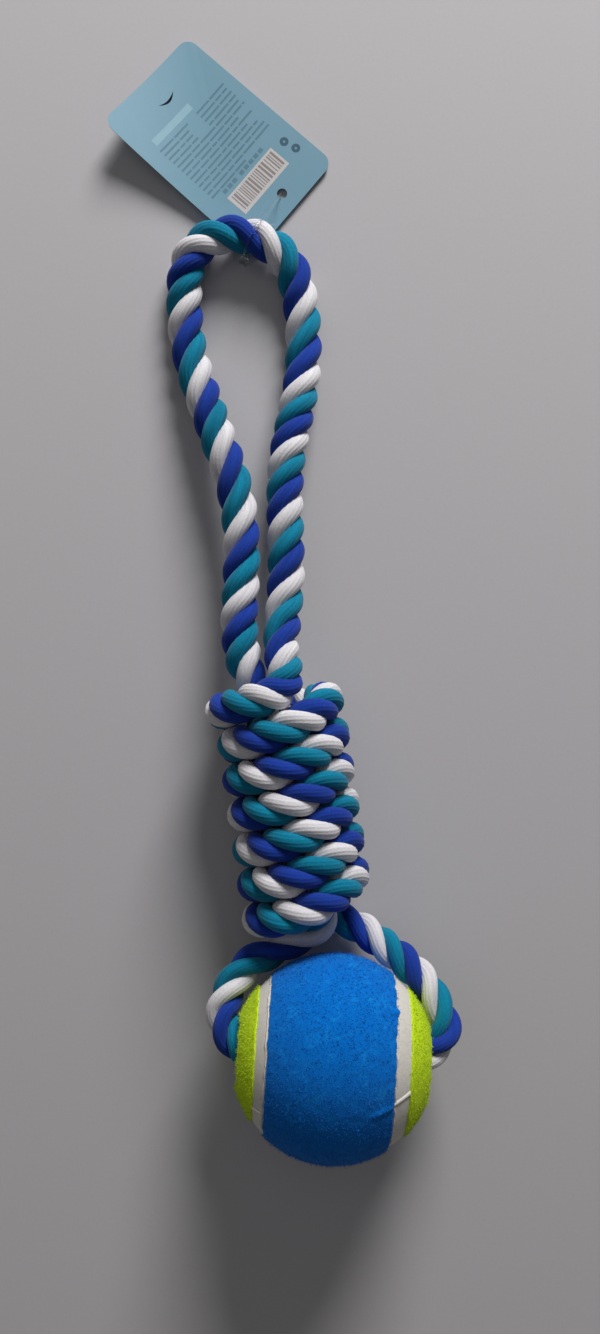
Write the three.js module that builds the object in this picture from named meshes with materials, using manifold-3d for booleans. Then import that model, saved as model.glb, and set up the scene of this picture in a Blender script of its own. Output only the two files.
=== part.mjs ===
// Rope tug toy: one length of three-strand rope with a hand loop, a wound grip and a felt ball,
// and a card tag on a clear plastic fastener. Millimetres, +Z up from the table that the toy lies on.
// The origin is the middle of the flat under the grip's middle turn, and +Y runs to the hand loop.
import * as THREE from 'three';
import { mergeVertices } from 'three/addons/utils/BufferGeometryUtils.js';
import Module from 'manifold-3d';

const wasm = await Module();
wasm.setup();

// Rope sizes. The rope is rounder where it lies free and squeezed where it is wound or gripped.
const freeRopeDiameter = 12.2;
const lowerRopeDiameter = 11;
const windingRopeDiameter = 10;
const ballRopeDiameter = 10.4;
const gripRopeDiameter = 9.2;
const windingFlatShare = 0.1;
const touchGap = 0.3;

// Wound grip: a right-handed helix of seven turns round the two rope ends. The turns lean, so that they are
// furthest from the ball on the right, and the grip's axis runs a little askew of +Y.
const gripOuterDiameter = 41.6;
const turnPitch = 11.17;
const turnLean = 3.12;
const turnBow = 0.4;
const turnSkew = 1.14;
const firstTurnStandOff = 2.4;
const gripAxisOffset = 1.42;
const gripAxisSlopeShare = -0.044;

// Ball sizes.
const ballDiameter = 63;
const feltThickness = 1.8;
const rubberWall = 3.4;
const ropeHoleDiameter = 17;
const holeMouthRadius = 2.5;
const bandToLeft = 20.4;
const bandToRight = 17.5;
const capFromLeft = 24.2;
const capFromRight = 22.6;
const ballCentre = [6.1, -74];

// Card tag and its fastener.
const cardWidth = 41.6;
const cardLength = 64.5;
const cardThickness = 0.45;
const cardCornerRadius = 4;
const cardHoleDiameter = 3.4;
const cardHoleToEdge = 6.2;
const cardHoleOffCentre = 1.6;
const cardCurlRadius = 92;
const cardCurlStart = 12;
const hangSlotWidth = 5.2;
const hangSlotDepth = 1.5;
const hangSlotToEdge = 9;
const filamentDiameter = 0.6;
const filamentBend = 1;
const filamentSlack = 0.45;
const filamentShoulder = 4.2;
const filamentShoulderHeightShare = 0.72;
const tableGap = 0.05;
const lockWidth = 2.2;
const lockLength = 3.4;
const lockBreadth = 3;
const lockOffsetShare = 0.25;

// Angles in degrees. The winding's are measured along the helix, from the underside of the middle turn.
const firstTurnAngle = -1245;
const standOffStart = -1170;
const standOffEnd = -930;
const lastTurnAngle = 1080;
const boreTurn = -9;
const joinTurn = -71;
const joinLean = 8.5;
const tagTurn = 43.9;
const curlTurn = 35;
const filamentArcStart = 180;
const filamentArcEnd = 60;

// Counts of sides and steps.
const freeRopeSides = 12;
const handLoopSteps = 56;
const upperEndSteps = 8;
const lowerRightSteps = 10;
const ballRopeSteps = 34;
const lowerLeftSteps = 16;
const lowerEndSteps = 6;
const stepsPerTurn = 24;
const windingSides = 6;
const leadOutSteps = 3;
const leadOutFullnessShare = 1;
const ballSegments = 40;
const bandSteps = 8;
const capSteps = 4;
const shellSteps = 12;
const curlSteps = 14;
const cardCornerSteps = 6;
const filamentSides = 8;
const filamentSteps = 56;
const filamentArcStep = 20;

// Finishes from the toy.
const finishes = {
  rope: { color: 0x5b95b6, roughness: 0.9, metalness: 0 },
  blueFelt: { color: 0x0f74d0, roughness: 1, metalness: 0 },
  limeFelt: { color: 0xbfe62a, roughness: 1, metalness: 0 },
  rubber: { color: 0xd2cbbd, roughness: 0.7, metalness: 0 },
  card: { color: 0x86b4c4, roughness: 0.6, metalness: 0 },
  clearPlastic: { color: 0xe6eef0, roughness: 0.3, metalness: 0 },
  tape: { color: 0xe4e2dc, roughness: 0.6, metalness: 0 },
};

// Derived sizes. The winding and the free rope are flattened where they lie on the table.
const windingRadius = (gripOuterDiameter - windingRopeDiameter) / 2;
const windingFlat = windingRopeDiameter * windingFlatShare;
const gripHeight = gripOuterDiameter / 2 - windingFlat;
const ballRadius = ballDiameter / 2;
const rubberOuterRadius = ballRadius - feltThickness - touchGap;
const rubberInnerRadius = rubberOuterRadius - rubberWall;
const holeRadius = ropeHoleDiameter / 2;
const cardUnderside = tableGap + filamentDiameter + touchGap;
const cutOverrun = gripOuterDiameter;
const mergeTolerance = touchGap / 1000;

// The rope's route, chosen by hand along the toy, in the order that the rope runs.
const upperEndRoute = [
  [-2.6, -18, 19.78], [-4.5, 26, 19.78], [-5.0, 35, 19.78], [-6.5, 41, 19.8], [-8.05, 45.2, 19.9],
];
const handLoopRoute = [
  [-8.2, 45.6, 19.9], [-10.0, 51.0, 20.0], [-10.4, 62.0, 19.3], [-8.9, 74.0, 18.0], [-7.4, 86.0, 16.6],
  [-7.0, 98.5, 15.2], [-8.3, 111.0, 13.8], [-11.5, 124.0, 11.8], [-14.6, 136.5, 9.5], [-17.3, 147.5, 7.2],
  [-18.8, 158.0, 5.4], [-18.9, 168.0, 4.9], [-17.9, 178.5, 5.6], [-14.9, 186.3, 7.2], [-9.0, 190.8, 8.0],
  [-0.8, 192.0, 8.1], [6.4, 190.1, 8.1], [12.4, 186.4, 8.0], [16.9, 180.8, 7.0], [19.0, 174.0, 5.4],
  [19.8, 165.5, 4.9], [19.6, 156.5, 5.4], [18.6, 147.5, 7.0], [16.8, 138.5, 9.0], [14.2, 129.5, 11.0],
  [10.5, 117.0, 13.3], [8.3, 104.0, 15.0], [7.3, 91.0, 16.6], [6.3, 78.5, 18.0], [4.9, 69.5, 19.2],
  [4.0, 64.0, 21.0], [3.4, 60.6, 23.0],
];
const windingLeadInRoute = [
  [3.35, 60.35, 23.15], [2.6, 56.09, 25.66], [2.3, 52.3, 27.7], [2.75, 49.0, 29.4], [3.2, 46.0, 30.9],
  [2.89, 44.02, 31.9], [1.98, 42.24, 32.8], [0.56, 40.82, 33.7], [-1.22, 39.91, 34.5], [-3.5, 39.4, 35.1],
];
const windingEnd = [14.6, -37.4, 7.4];
const windingEndHeading = [0.86, -0.36, 0.37];
const lowerRightRoute = [
  [14.86, -37.51, 7.51], [17.4, -38.5, 8.5], [21.7, -41.5, 10.7], [25.7, -44.9, 12.7], [29.8, -48.3, 14.6],
  [33.6, -52.1, 16.4], [37.0, -56.2, 18.1], [39.6, -60.8, 19.9], [40.7, -63.1, 20.8], [41.39, -64.63, 21.41],
  [41.65, -65.36, 21.74],
];
const ballRopeRoute = [
  [41.75, -65.64, 21.86], [42.01, -66.37, 22.19], [42.4, -67.8, 22.9], [42.6, -70.0, 24.0],
  [42.1, -72.0, 25.2], [40.9, -73.8, 26.3], [39.1, -75.2, 27.2], [36.8, -76.3, 27.9], [31.7, -78.0, 29.1],
  [26.2, -79.1, 30.0], [17.7, -79.7, 31.0], [9.1, -79.3, 31.5], [0.5, -78.2, 32.2], [-7.9, -76.3, 32.2],
  [-15.8, -73.2, 31.7], [-20.6, -70.3, 31.0], [-24.4, -66.7, 29.9], [-25.8, -64.5, 29.2],
  [-26.7, -62.2, 28.4], [-27.3, -59.8, 27.7], [-27.3, -58.32, 27.13], [-27.13, -57.55, 26.85],
];
const lowerLeftRoute = [
  [-27.07, -57.25, 26.75], [-26.9, -56.48, 26.47], [-26.3, -55.1, 26.0], [-23.7, -50.6, 24.4],
  [-20.2, -46.8, 22.9], [-15.7, -43.9, 21.4], [-10.4, -42.2, 19.9], [-3.4, -39.5, 19.6], [2.0, -37.6, 19.7],
  [5.6, -35.2, 19.8], [7.2, -33.0, 19.8], [7.5, -31.5, 19.78], [7.51, -30.4, 19.78],
];
// The rope's middle place in the ball is level with the ball's centre. The loop's places follow the ball's size.
const routeBallRadius = ballRopeRoute[ballRopeRoute.length / 2][2];
const lowerEndRoute = [[7.51, -30.1, 19.78], [7.5, -28.8, 19.78], [7.1, -20, 19.78], [5.1, 26, 19.78]];

// Where the fastener goes round the hand loop, and where it goes through the card.
const fastenerSeat = [6.4, 190.1, 8.1];
const fastenerCardHole = [17.2, 206.2];
const filamentRound = freeRopeDiameter / 2 + filamentSlack + filamentDiameter / 2;
const lockHeight = fastenerSeat[2] - filamentRound / 2;

// Scales a route about the foot of the ball, by shares of the ball's growth at its first and last place.
function followBall(route, firstShare, lastShare) {
  const growth = ballRadius / routeBallRadius - 1;
  return route.map(([x, y, z], index) => {
    const share = firstShare + ((lastShare - firstShare) * index) / (route.length - 1);
    const move = growth * share;
    return [x + (x - ballCentre[0]) * move, y + (y - ballCentre[1]) * move, z + z * move];
  });
}

const toVector = (place) => new THREE.Vector3(...place);
const radians = THREE.MathUtils.degToRad;
const degreesOf = THREE.MathUtils.radToDeg;

// Solids for cutting and joining, and back to plain geometry.
function toSolid(geometry) {
  const plain = geometry.clone();
  plain.deleteAttribute('normal');
  plain.deleteAttribute('uv');
  const merged = mergeVertices(plain, mergeTolerance);
  const vertProperties = new Float32Array(merged.attributes.position.array);
  const triVerts = new Uint32Array(merged.index.array);
  return new wasm.Manifold(new wasm.Mesh({ numProp: 3, vertProperties, triVerts }));
}

function toGeometry(solid) {
  const mesh = solid.getMesh();
  const geometry = new THREE.BufferGeometry();
  geometry.setAttribute('position', new THREE.BufferAttribute(new Float32Array(mesh.vertProperties), 3));
  geometry.setIndex(new THREE.BufferAttribute(new Uint32Array(mesh.triVerts), 1));
  geometry.computeVertexNormals();
  return geometry;
}

// Everything below the table is cut away, which leaves the flats that the toy lies on.
function cutAtTable(geometry) {
  geometry.computeBoundingBox();
  const size = geometry.boundingBox.getSize(new THREE.Vector3());
  const middle = geometry.boundingBox.getCenter(new THREE.Vector3());
  const below = new THREE.BoxGeometry(size.x + cutOverrun, size.y + cutOverrun, cutOverrun);
  below.translate(middle.x, middle.y, -cutOverrun / 2);
  return toGeometry(toSolid(geometry).subtract(toSolid(below)));
}

function polygonShape(radius, sides) {
  const points = [];
  for (let side = 0; side < sides; side += 1) {
    const angle = (2 * Math.PI * side) / sides;
    points.push(new THREE.Vector2(radius * Math.cos(angle), radius * Math.sin(angle)));
  }
  return new THREE.Shape(points);
}

// A plain tube along a smooth curve through the places.
function tubeAlong(places, diameter, sides, steps) {
  const path = new THREE.CatmullRomCurve3(places, false, 'centripetal');
  return new THREE.ExtrudeGeometry(polygonShape(diameter / 2, sides), {
    steps,
    bevelEnabled: false,
    extrudePath: path,
  });
}

// The grip's helix at an angle measured from its underside, turning with the rope's travel. The middle turn's
// underside is at y 0. The first turn stands off to the left, where it passes over the hand loop's leg.
const gripAxisX = (y) => gripAxisOffset + gripAxisSlopeShare * y;

function helixPlace(degrees) {
  const angle = radians(degrees);
  const standOff = firstTurnStandOff * (1 - THREE.MathUtils.smoothstep(degrees, standOffStart, standOffEnd));
  const lean = turnLean * Math.sin(angle) + turnBow * (1 - Math.cos(angle)) + turnSkew * (1 - Math.cos(2 * angle));
  const y = lean - (turnPitch * degrees) / 360;
  const x = gripAxisX(y) + windingRadius * Math.sin(angle) - standOff;
  return new THREE.Vector3(x, y, gripHeight - windingRadius * Math.cos(angle));
}

function helixHeading(degrees) {
  return helixPlace(degrees + 1).sub(helixPlace(degrees)).normalize();
}

// A smooth lead between two places, leaving and arriving along the given headings.
function leadPlaces(from, fromHeading, to, toHeading, fullness, count) {
  const reach = from.distanceTo(to) * fullness;
  const places = [];
  for (let index = 1; index < count; index += 1) {
    const t = index / count;
    const place = new THREE.Vector3();
    place.addScaledVector(from, 2 * t ** 3 - 3 * t ** 2 + 1);
    place.addScaledVector(fromHeading, reach * (t ** 3 - 2 * t ** 2 + t));
    place.addScaledVector(to, 3 * t ** 2 - 2 * t ** 3);
    place.addScaledVector(toHeading, reach * (t ** 3 - t ** 2));
    places.push(place);
  }
  return places;
}

// The winding's centreline: its route in from the hand loop, the turns, a lead off the helix and a straight end.
function windingPlaces() {
  const end = toVector(windingEnd);
  const endHeading = toVector(windingEndHeading).normalize();
  const straight = windingRopeDiameter;
  const leadOut = end.clone().addScaledVector(endHeading, -straight);
  const stepDegrees = 360 / stepsPerTurn;
  const turns = [];
  for (let degrees = firstTurnAngle; degrees <= lastTurnAngle; degrees += stepDegrees) {
    turns.push(helixPlace(degrees));
  }
  const lastTurn = turns[turns.length - 1];
  return [
    ...windingLeadInRoute.map(toVector),
    ...turns,
    ...leadPlaces(lastTurn, helixHeading(lastTurnAngle), leadOut, endHeading, leadOutFullnessShare, leadOutSteps),
    leadOut,
    end.clone().addScaledVector(endHeading, -straight / 2),
    end,
  ];
}

// A closed tube through every place, with one corner of its section facing away from the grip's axis.
function woundTube(places, diameter, sides) {
  const radius = diameter / 2;
  const positions = [];
  const indices = [];
  places.forEach((place, index) => {
    const before = places[Math.max(index - 1, 0)];
    const after = places[Math.min(index + 1, places.length - 1)];
    const heading = after.clone().sub(before).normalize();
    const outward = new THREE.Vector3(place.x - gripAxisX(place.y), 0, place.z - gripHeight);
    outward.addScaledVector(heading, -outward.dot(heading)).normalize();
    const across = heading.clone().cross(outward);
    for (let side = 0; side < sides; side += 1) {
      const angle = (2 * Math.PI * side) / sides;
      const corner = place.clone();
      corner.addScaledVector(outward, radius * Math.cos(angle));
      corner.addScaledVector(across, radius * Math.sin(angle));
      positions.push(corner.x, corner.y, corner.z);
    }
  });
  for (let ring = 0; ring < places.length - 1; ring += 1) {
    for (let side = 0; side < sides; side += 1) {
      const a = ring * sides + side;
      const b = ring * sides + ((side + 1) % sides);
      indices.push(a, b, b + sides, a, b + sides, a + sides);
    }
  }
  const lastRing = (places.length - 1) * sides;
  for (let side = 1; side < sides - 1; side += 1) {
    indices.push(0, side + 1, side);
    indices.push(lastRing, lastRing + side, lastRing + side + 1);
  }
  const geometry = new THREE.BufferGeometry();
  geometry.setAttribute('position', new THREE.BufferAttribute(new Float32Array(positions), 3));
  geometry.setIndex(indices);
  geometry.computeVertexNormals();
  return geometry;
}

// The least gap between stretches of the winding that aren't neighbours along the rope, on its centreline.
function leastGapToItself(places, diameter) {
  const along = [0];
  for (let index = 1; index < places.length; index += 1) {
    along.push(along[index - 1] + places[index].distanceTo(places[index - 1]));
  }
  let least = Infinity;
  for (let first = 0; first < places.length; first += 1) {
    for (let second = first + 1; second < places.length; second += 1) {
      if (along[second] - along[first] > 2 * diameter) {
        least = Math.min(least, places[first].distanceTo(places[second]) - diameter);
      }
    }
  }
  return least;
}

// Ball: rings turned about the bore, whose profile is a list of (radius, place along the bore).
function arcPoints(radius, fromDegrees, toDegrees, count) {
  const points = [];
  for (let index = 0; index <= count; index += 1) {
    const angle = radians(fromDegrees + ((toDegrees - fromDegrees) * index) / count);
    points.push(new THREE.Vector2(radius * Math.cos(angle), radius * Math.sin(angle)));
  }
  return points;
}

function turned(points) {
  return new THREE.LatheGeometry([...points, points[0].clone()], ballSegments);
}

// Latitudes on a sphere about the ball's centre, by the place along the bore or by the distance from the bore.
const latitudeAlongBore = (place, radius) => degreesOf(Math.asin(place / radius));
const latitudeAtDistance = (distance, radius) => degreesOf(Math.acos(distance / radius));

// The felt band sits a little to the left of the ball's middle.
function feltBand() {
  const inner = ballRadius - feltThickness;
  const left = -latitudeAlongBore(bandToLeft, ballRadius);
  const right = latitudeAlongBore(bandToRight, ballRadius);
  return turned([...arcPoints(ballRadius, left, right, bandSteps), ...arcPoints(inner, right, left, bandSteps)]);
}

// A felt cap reaches from beside the band to the rope hole, where the felt rolls into the hole's mouth.
function feltCap(start) {
  const inner = ballRadius - feltThickness;
  const edge = latitudeAlongBore(start, ballRadius);
  const mouth = latitudeAtDistance(holeRadius + holeMouthRadius, ballRadius);
  const lip = latitudeAtDistance(holeRadius + holeMouthRadius / 2, inner);
  return turned([...arcPoints(ballRadius, edge, mouth, capSteps), ...arcPoints(inner, lip, edge, capSteps)]);
}

// The rubber core is a hollow shell with a rope hole at each end of the bore.
function rubberShell() {
  const outerEdge = latitudeAtDistance(holeRadius + holeMouthRadius / 2, rubberOuterRadius);
  const innerEdge = latitudeAtDistance(holeRadius, rubberInnerRadius);
  const outer = arcPoints(rubberOuterRadius, -outerEdge, outerEdge, shellSteps);
  const inner = arcPoints(rubberInnerRadius, innerEdge, -innerEdge, shellSteps);
  return toSolid(turned([...outer, ...inner]));
}

// Its two halves meet on a plane through the ball's centre, which the bore passes through at a slant.
function rubberHalf(shell, side) {
  const cutter = new THREE.BoxGeometry(2 * cutOverrun, 2 * cutOverrun, 2 * cutOverrun);
  cutter.translate(0, 0, -side * (cutOverrun - touchGap / 2));
  cutter.rotateY(radians(joinTurn));
  cutter.rotateZ(radians(joinLean));
  return toGeometry(shell.subtract(toSolid(cutter)));
}

// Card: a curled sheet cut to the outline, in a frame whose origin is the hole, with +Y along the card.
function cardOutline() {
  const right = cardWidth / 2 - cardHoleOffCentre;
  const left = right - cardWidth;
  const bottom = -cardHoleToEdge;
  const top = bottom + cardLength;
  const round = cardCornerRadius;
  const outline = new THREE.Shape();
  outline.moveTo(left + round, bottom);
  outline.lineTo(right - round, bottom);
  outline.absarc(right - round, bottom + round, round, -Math.PI / 2, 0, false);
  outline.lineTo(right, top - round);
  outline.absarc(right - round, top - round, round, 0, Math.PI / 2, false);
  outline.lineTo(left + round, top);
  outline.absarc(left + round, top - round, round, Math.PI / 2, Math.PI, false);
  outline.lineTo(left, bottom + round);
  outline.absarc(left + round, bottom + round, round, Math.PI, 1.5 * Math.PI, false);
  const hole = new THREE.Path();
  hole.absarc(0, 0, cardHoleDiameter / 2, 0, 2 * Math.PI, true);
  const slot = new THREE.Path();
  const slotMiddle = (left + right) / 2;
  const slotLeft = slotMiddle - hangSlotWidth / 2;
  const slotRight = slotMiddle + hangSlotWidth / 2;
  const slotPlace = top - hangSlotToEdge;
  slot.moveTo(slotLeft, slotPlace);
  slot.quadraticCurveTo(slotMiddle, slotPlace - 2 * hangSlotDepth, slotRight, slotPlace);
  slot.quadraticCurveTo(slotMiddle, slotPlace - hangSlotDepth / 2, slotLeft, slotPlace);
  outline.holes.push(hole, slot);
  return outline;
}

function curledSheet() {
  const reach = cardLength + cardWidth;
  const lift = (place) => Math.max(place - cardCurlStart, 0) ** 2 / (2 * cardCurlRadius);
  const lower = [new THREE.Vector2(-reach, 0)];
  const upper = [new THREE.Vector2(-reach, cardThickness)];
  for (let index = 0; index <= curlSteps; index += 1) {
    const place = cardCurlStart + ((cardLength - cardCurlStart) * index) / curlSteps;
    lower.push(new THREE.Vector2(place, lift(place)));
    upper.push(new THREE.Vector2(place, lift(place) + cardThickness));
  }
  const section = new THREE.Shape([...lower, ...upper.reverse()]);
  const sheet = new THREE.ExtrudeGeometry(section, { depth: 2 * reach, bevelEnabled: false });
  sheet.translate(0, 0, -reach);
  sheet.rotateX(Math.PI / 2);
  sheet.rotateZ(Math.PI - radians(curlTurn));
  return sheet;
}

function cardGeometry() {
  const blank = new THREE.ExtrudeGeometry(cardOutline(), {
    depth: cardLength,
    bevelEnabled: false,
    curveSegments: cardCornerSteps,
  });
  blank.translate(0, 0, -cardLength / 2);
  return toGeometry(toSolid(curledSheet()).intersect(toSolid(blank)));
}

// The fastener's filament lies in the upright plane from the rope to the card's hole. From the lock it goes over
// the rope, down through the hole, back under the card and up to the lock: places as (outward, height).
function filamentPlaces(reach) {
  const seatHeight = fastenerSeat[2];
  const runHeight = tableGap + filamentDiameter / 2;
  const landing = cardUnderside + cardThickness + filamentDiameter;
  const shoulderHeight = landing + (seatHeight - landing) * filamentShoulderHeightShare;
  const lockTop = lockHeight + lockLength / 2 + touchGap;
  const lockBottom = lockHeight - lockLength / 2 - touchGap;
  const places = [[-filamentRound, lockTop], [-filamentRound, (lockTop + seatHeight) / 2]];
  for (let degrees = filamentArcStart; degrees >= filamentArcEnd; degrees -= filamentArcStep) {
    const angle = radians(degrees);
    places.push([filamentRound * Math.cos(angle), seatHeight + filamentRound * Math.sin(angle)]);
  }
  places.push([reach - filamentShoulder, shoulderHeight]);
  places.push([reach - filamentBend, landing + filamentBend / 2]);
  places.push([reach, cardUnderside + cardThickness / 2]);
  places.push([reach - filamentBend, runHeight]);
  places.push([reach / 2, runHeight]);
  places.push([0, runHeight]);
  places.push([filamentBend - filamentRound, runHeight]);
  places.push([-filamentRound, runHeight + filamentBend]);
  places.push([-filamentRound, lockBottom]);
  return places;
}

// The toy is put together here.
const toy = new THREE.Group();

function addPiece(parent, name, geometry, finish) {
  const piece = new THREE.Mesh(geometry, new THREE.MeshStandardMaterial(finish));
  piece.name = name;
  parent.add(piece);
  return piece;
}

function addRope(name, route, diameter, steps) {
  return addPiece(toy, name, tubeAlong(route.map(toVector), diameter, freeRopeSides, steps), finishes.rope);
}

const handLoop = tubeAlong(handLoopRoute.map(toVector), freeRopeDiameter, freeRopeSides, handLoopSteps);
addPiece(toy, 'handle_loop', cutAtTable(handLoop), finishes.rope);
addRope('inner_rope_upper', upperEndRoute, gripRopeDiameter, upperEndSteps);

const winding = windingPlaces();
console.log(`least gap of the winding to itself ${leastGapToItself(winding, windingRopeDiameter).toFixed(2)} mm`);
const woundGrip = woundTube(winding, windingRopeDiameter, windingSides);
addPiece(toy, 'grip_winding', cutAtTable(woundGrip), finishes.rope);

addRope('lower_loop_right', followBall(lowerRightRoute, 0, 1), lowerRopeDiameter, lowerRightSteps);
addRope('rope_through_ball', followBall(ballRopeRoute, 1, 1), ballRopeDiameter, ballRopeSteps);
addRope('lower_loop_left', followBall(lowerLeftRoute, 1, 0), lowerRopeDiameter, lowerLeftSteps);
addRope('inner_rope_lower', lowerEndRoute, gripRopeDiameter, lowerEndSteps);

// Tape bound round the two cut ends inside the grip, each as long as the rope there is thick.
function addEndTape(name, place, direction) {
  const tapeRadius = gripRopeDiameter / 2;
  const tape = new THREE.CylinderGeometry(tapeRadius, tapeRadius, gripRopeDiameter, freeRopeSides);
  const piece = addPiece(toy, name, tape, finishes.tape);
  const [x, y, z] = place;
  piece.position.set(x, y + direction * (touchGap + gripRopeDiameter / 2), z);
}
addEndTape('end_tape_upper', upperEndRoute[0], -1);
addEndTape('end_tape_lower', lowerEndRoute[lowerEndRoute.length - 1], 1);

// The ball turns about the rope hole, which lies level and nearly square to the grip.
const ball = new THREE.Group();
ball.position.set(ballCentre[0], ballCentre[1], ballRadius);
ball.rotation.z = radians(boreTurn) - Math.PI / 2;
toy.add(ball);
addPiece(ball, 'felt_band', feltBand(), finishes.blueFelt);
const capLeft = addPiece(ball, 'felt_cap_left', feltCap(capFromLeft), finishes.limeFelt);
capLeft.rotation.z = Math.PI;
addPiece(ball, 'felt_cap_right', feltCap(capFromRight), finishes.limeFelt);
const shell = rubberShell();
addPiece(ball, 'rubber_half_inner', rubberHalf(shell, 1), finishes.rubber);
addPiece(ball, 'rubber_half_outer', rubberHalf(shell, -1), finishes.rubber);

// The tag lies on the table beyond the hand loop, its near edge under the rope.
const cardGroup = new THREE.Group();
cardGroup.position.set(fastenerCardHole[0], fastenerCardHole[1], cardUnderside);
cardGroup.rotation.z = radians(tagTurn);
toy.add(cardGroup);
addPiece(cardGroup, 'tag_card', cardGeometry(), finishes.card);

const fastener = new THREE.Group();
const holeOffset = new THREE.Vector2(fastenerCardHole[0] - fastenerSeat[0], fastenerCardHole[1] - fastenerSeat[1]);
fastener.position.set(fastenerSeat[0], fastenerSeat[1], 0);
fastener.rotation.z = holeOffset.angle();
toy.add(fastener);
const filamentRoute = filamentPlaces(holeOffset.length());
const filament = filamentRoute.map(([outward, height]) => new THREE.Vector3(outward, 0, height));
const filamentTube = tubeAlong(filament, filamentDiameter, filamentSides, filamentSteps);
addPiece(fastener, 'fastener_loop', filamentTube, finishes.clearPlastic);
const lockBlock = new THREE.BoxGeometry(lockWidth, lockBreadth, lockLength);
const lock = addPiece(fastener, 'fastener_lock', lockBlock, finishes.clearPlastic);
lock.position.set(-filamentRound - lockWidth * lockOffsetShare, 0, lockHeight);

export default toy;
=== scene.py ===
"""Dresses the rope tug toy: its three-strand rope, felt ball, card tag and clear fastener.

Everything is in metres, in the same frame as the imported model: +Z up from the table that the toy lies on, +Y
along the grip towards the hand loop.
"""

from __future__ import annotations

import logging
import math
import random
from collections.abc import Callable, Sequence
from dataclasses import dataclass, field
from enum import Enum
from functools import partial

import bmesh
import bpy
import numpy as np
from mathutils import Matrix, Vector, noise


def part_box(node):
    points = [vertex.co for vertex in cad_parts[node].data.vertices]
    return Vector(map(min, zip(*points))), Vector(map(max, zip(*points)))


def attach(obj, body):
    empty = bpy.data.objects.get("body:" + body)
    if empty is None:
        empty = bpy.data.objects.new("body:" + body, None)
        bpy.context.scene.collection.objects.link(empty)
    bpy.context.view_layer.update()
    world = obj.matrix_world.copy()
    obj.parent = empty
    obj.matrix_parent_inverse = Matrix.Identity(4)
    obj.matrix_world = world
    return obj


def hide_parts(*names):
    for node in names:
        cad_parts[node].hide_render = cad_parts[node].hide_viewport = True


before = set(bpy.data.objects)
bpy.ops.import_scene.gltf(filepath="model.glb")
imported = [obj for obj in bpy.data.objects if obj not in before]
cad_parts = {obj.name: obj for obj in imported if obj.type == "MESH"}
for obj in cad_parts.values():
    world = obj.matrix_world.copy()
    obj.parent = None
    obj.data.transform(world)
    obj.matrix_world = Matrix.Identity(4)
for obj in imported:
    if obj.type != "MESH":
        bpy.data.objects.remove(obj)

LOG = logging.getLogger("rope_toy")
MM = 0.001
TINY = 1e-7
Point = tuple[float, float, float]
Colour = tuple[float, float, float, float]
Block = tuple[float, float, float, float]


def srgb(red: int, green: int, blue: int) -> Colour:
    """Turns a colour written from 0 to 255 into the linear one that a shader takes."""
    parts = (part / 255 for part in (red, green, blue))
    linear = [part / 12.92 if part <= 0.04045 else ((part + 0.055) / 1.055) ** 2.4 for part in parts]
    return (linear[0], linear[1], linear[2], 1.0)


@dataclass(frozen=True)
class View:
    """The photograph's viewpoint: straight above the end of the grip that is nearer the hand loop."""

    place: Point = (7.73 * MM, 47.66 * MM, 417 * MM)
    roll: float = math.radians(-5.59)
    lens: float = 33.46
    nearest: float = 0.01
    furthest: float = 20

    def make(self) -> bpy.types.Object:
        """Adds the camera and makes it the scene's.

        Returns:
            The camera object.
        """
        data = bpy.data.cameras.new("view")
        data.lens = self.lens
        data.clip_start = self.nearest
        data.clip_end = self.furthest
        camera = bpy.data.objects.new("view", data)
        camera.location = self.place
        camera.rotation_euler = (0, 0, self.roll)
        bpy.context.scene.collection.objects.link(camera)
        bpy.context.scene.camera = camera
        return camera


class Strand(Enum):
    """The rope's three strands, in the order in which they come up along it."""

    WHITE = 0
    TEAL = 1
    BLUE = 2


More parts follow.
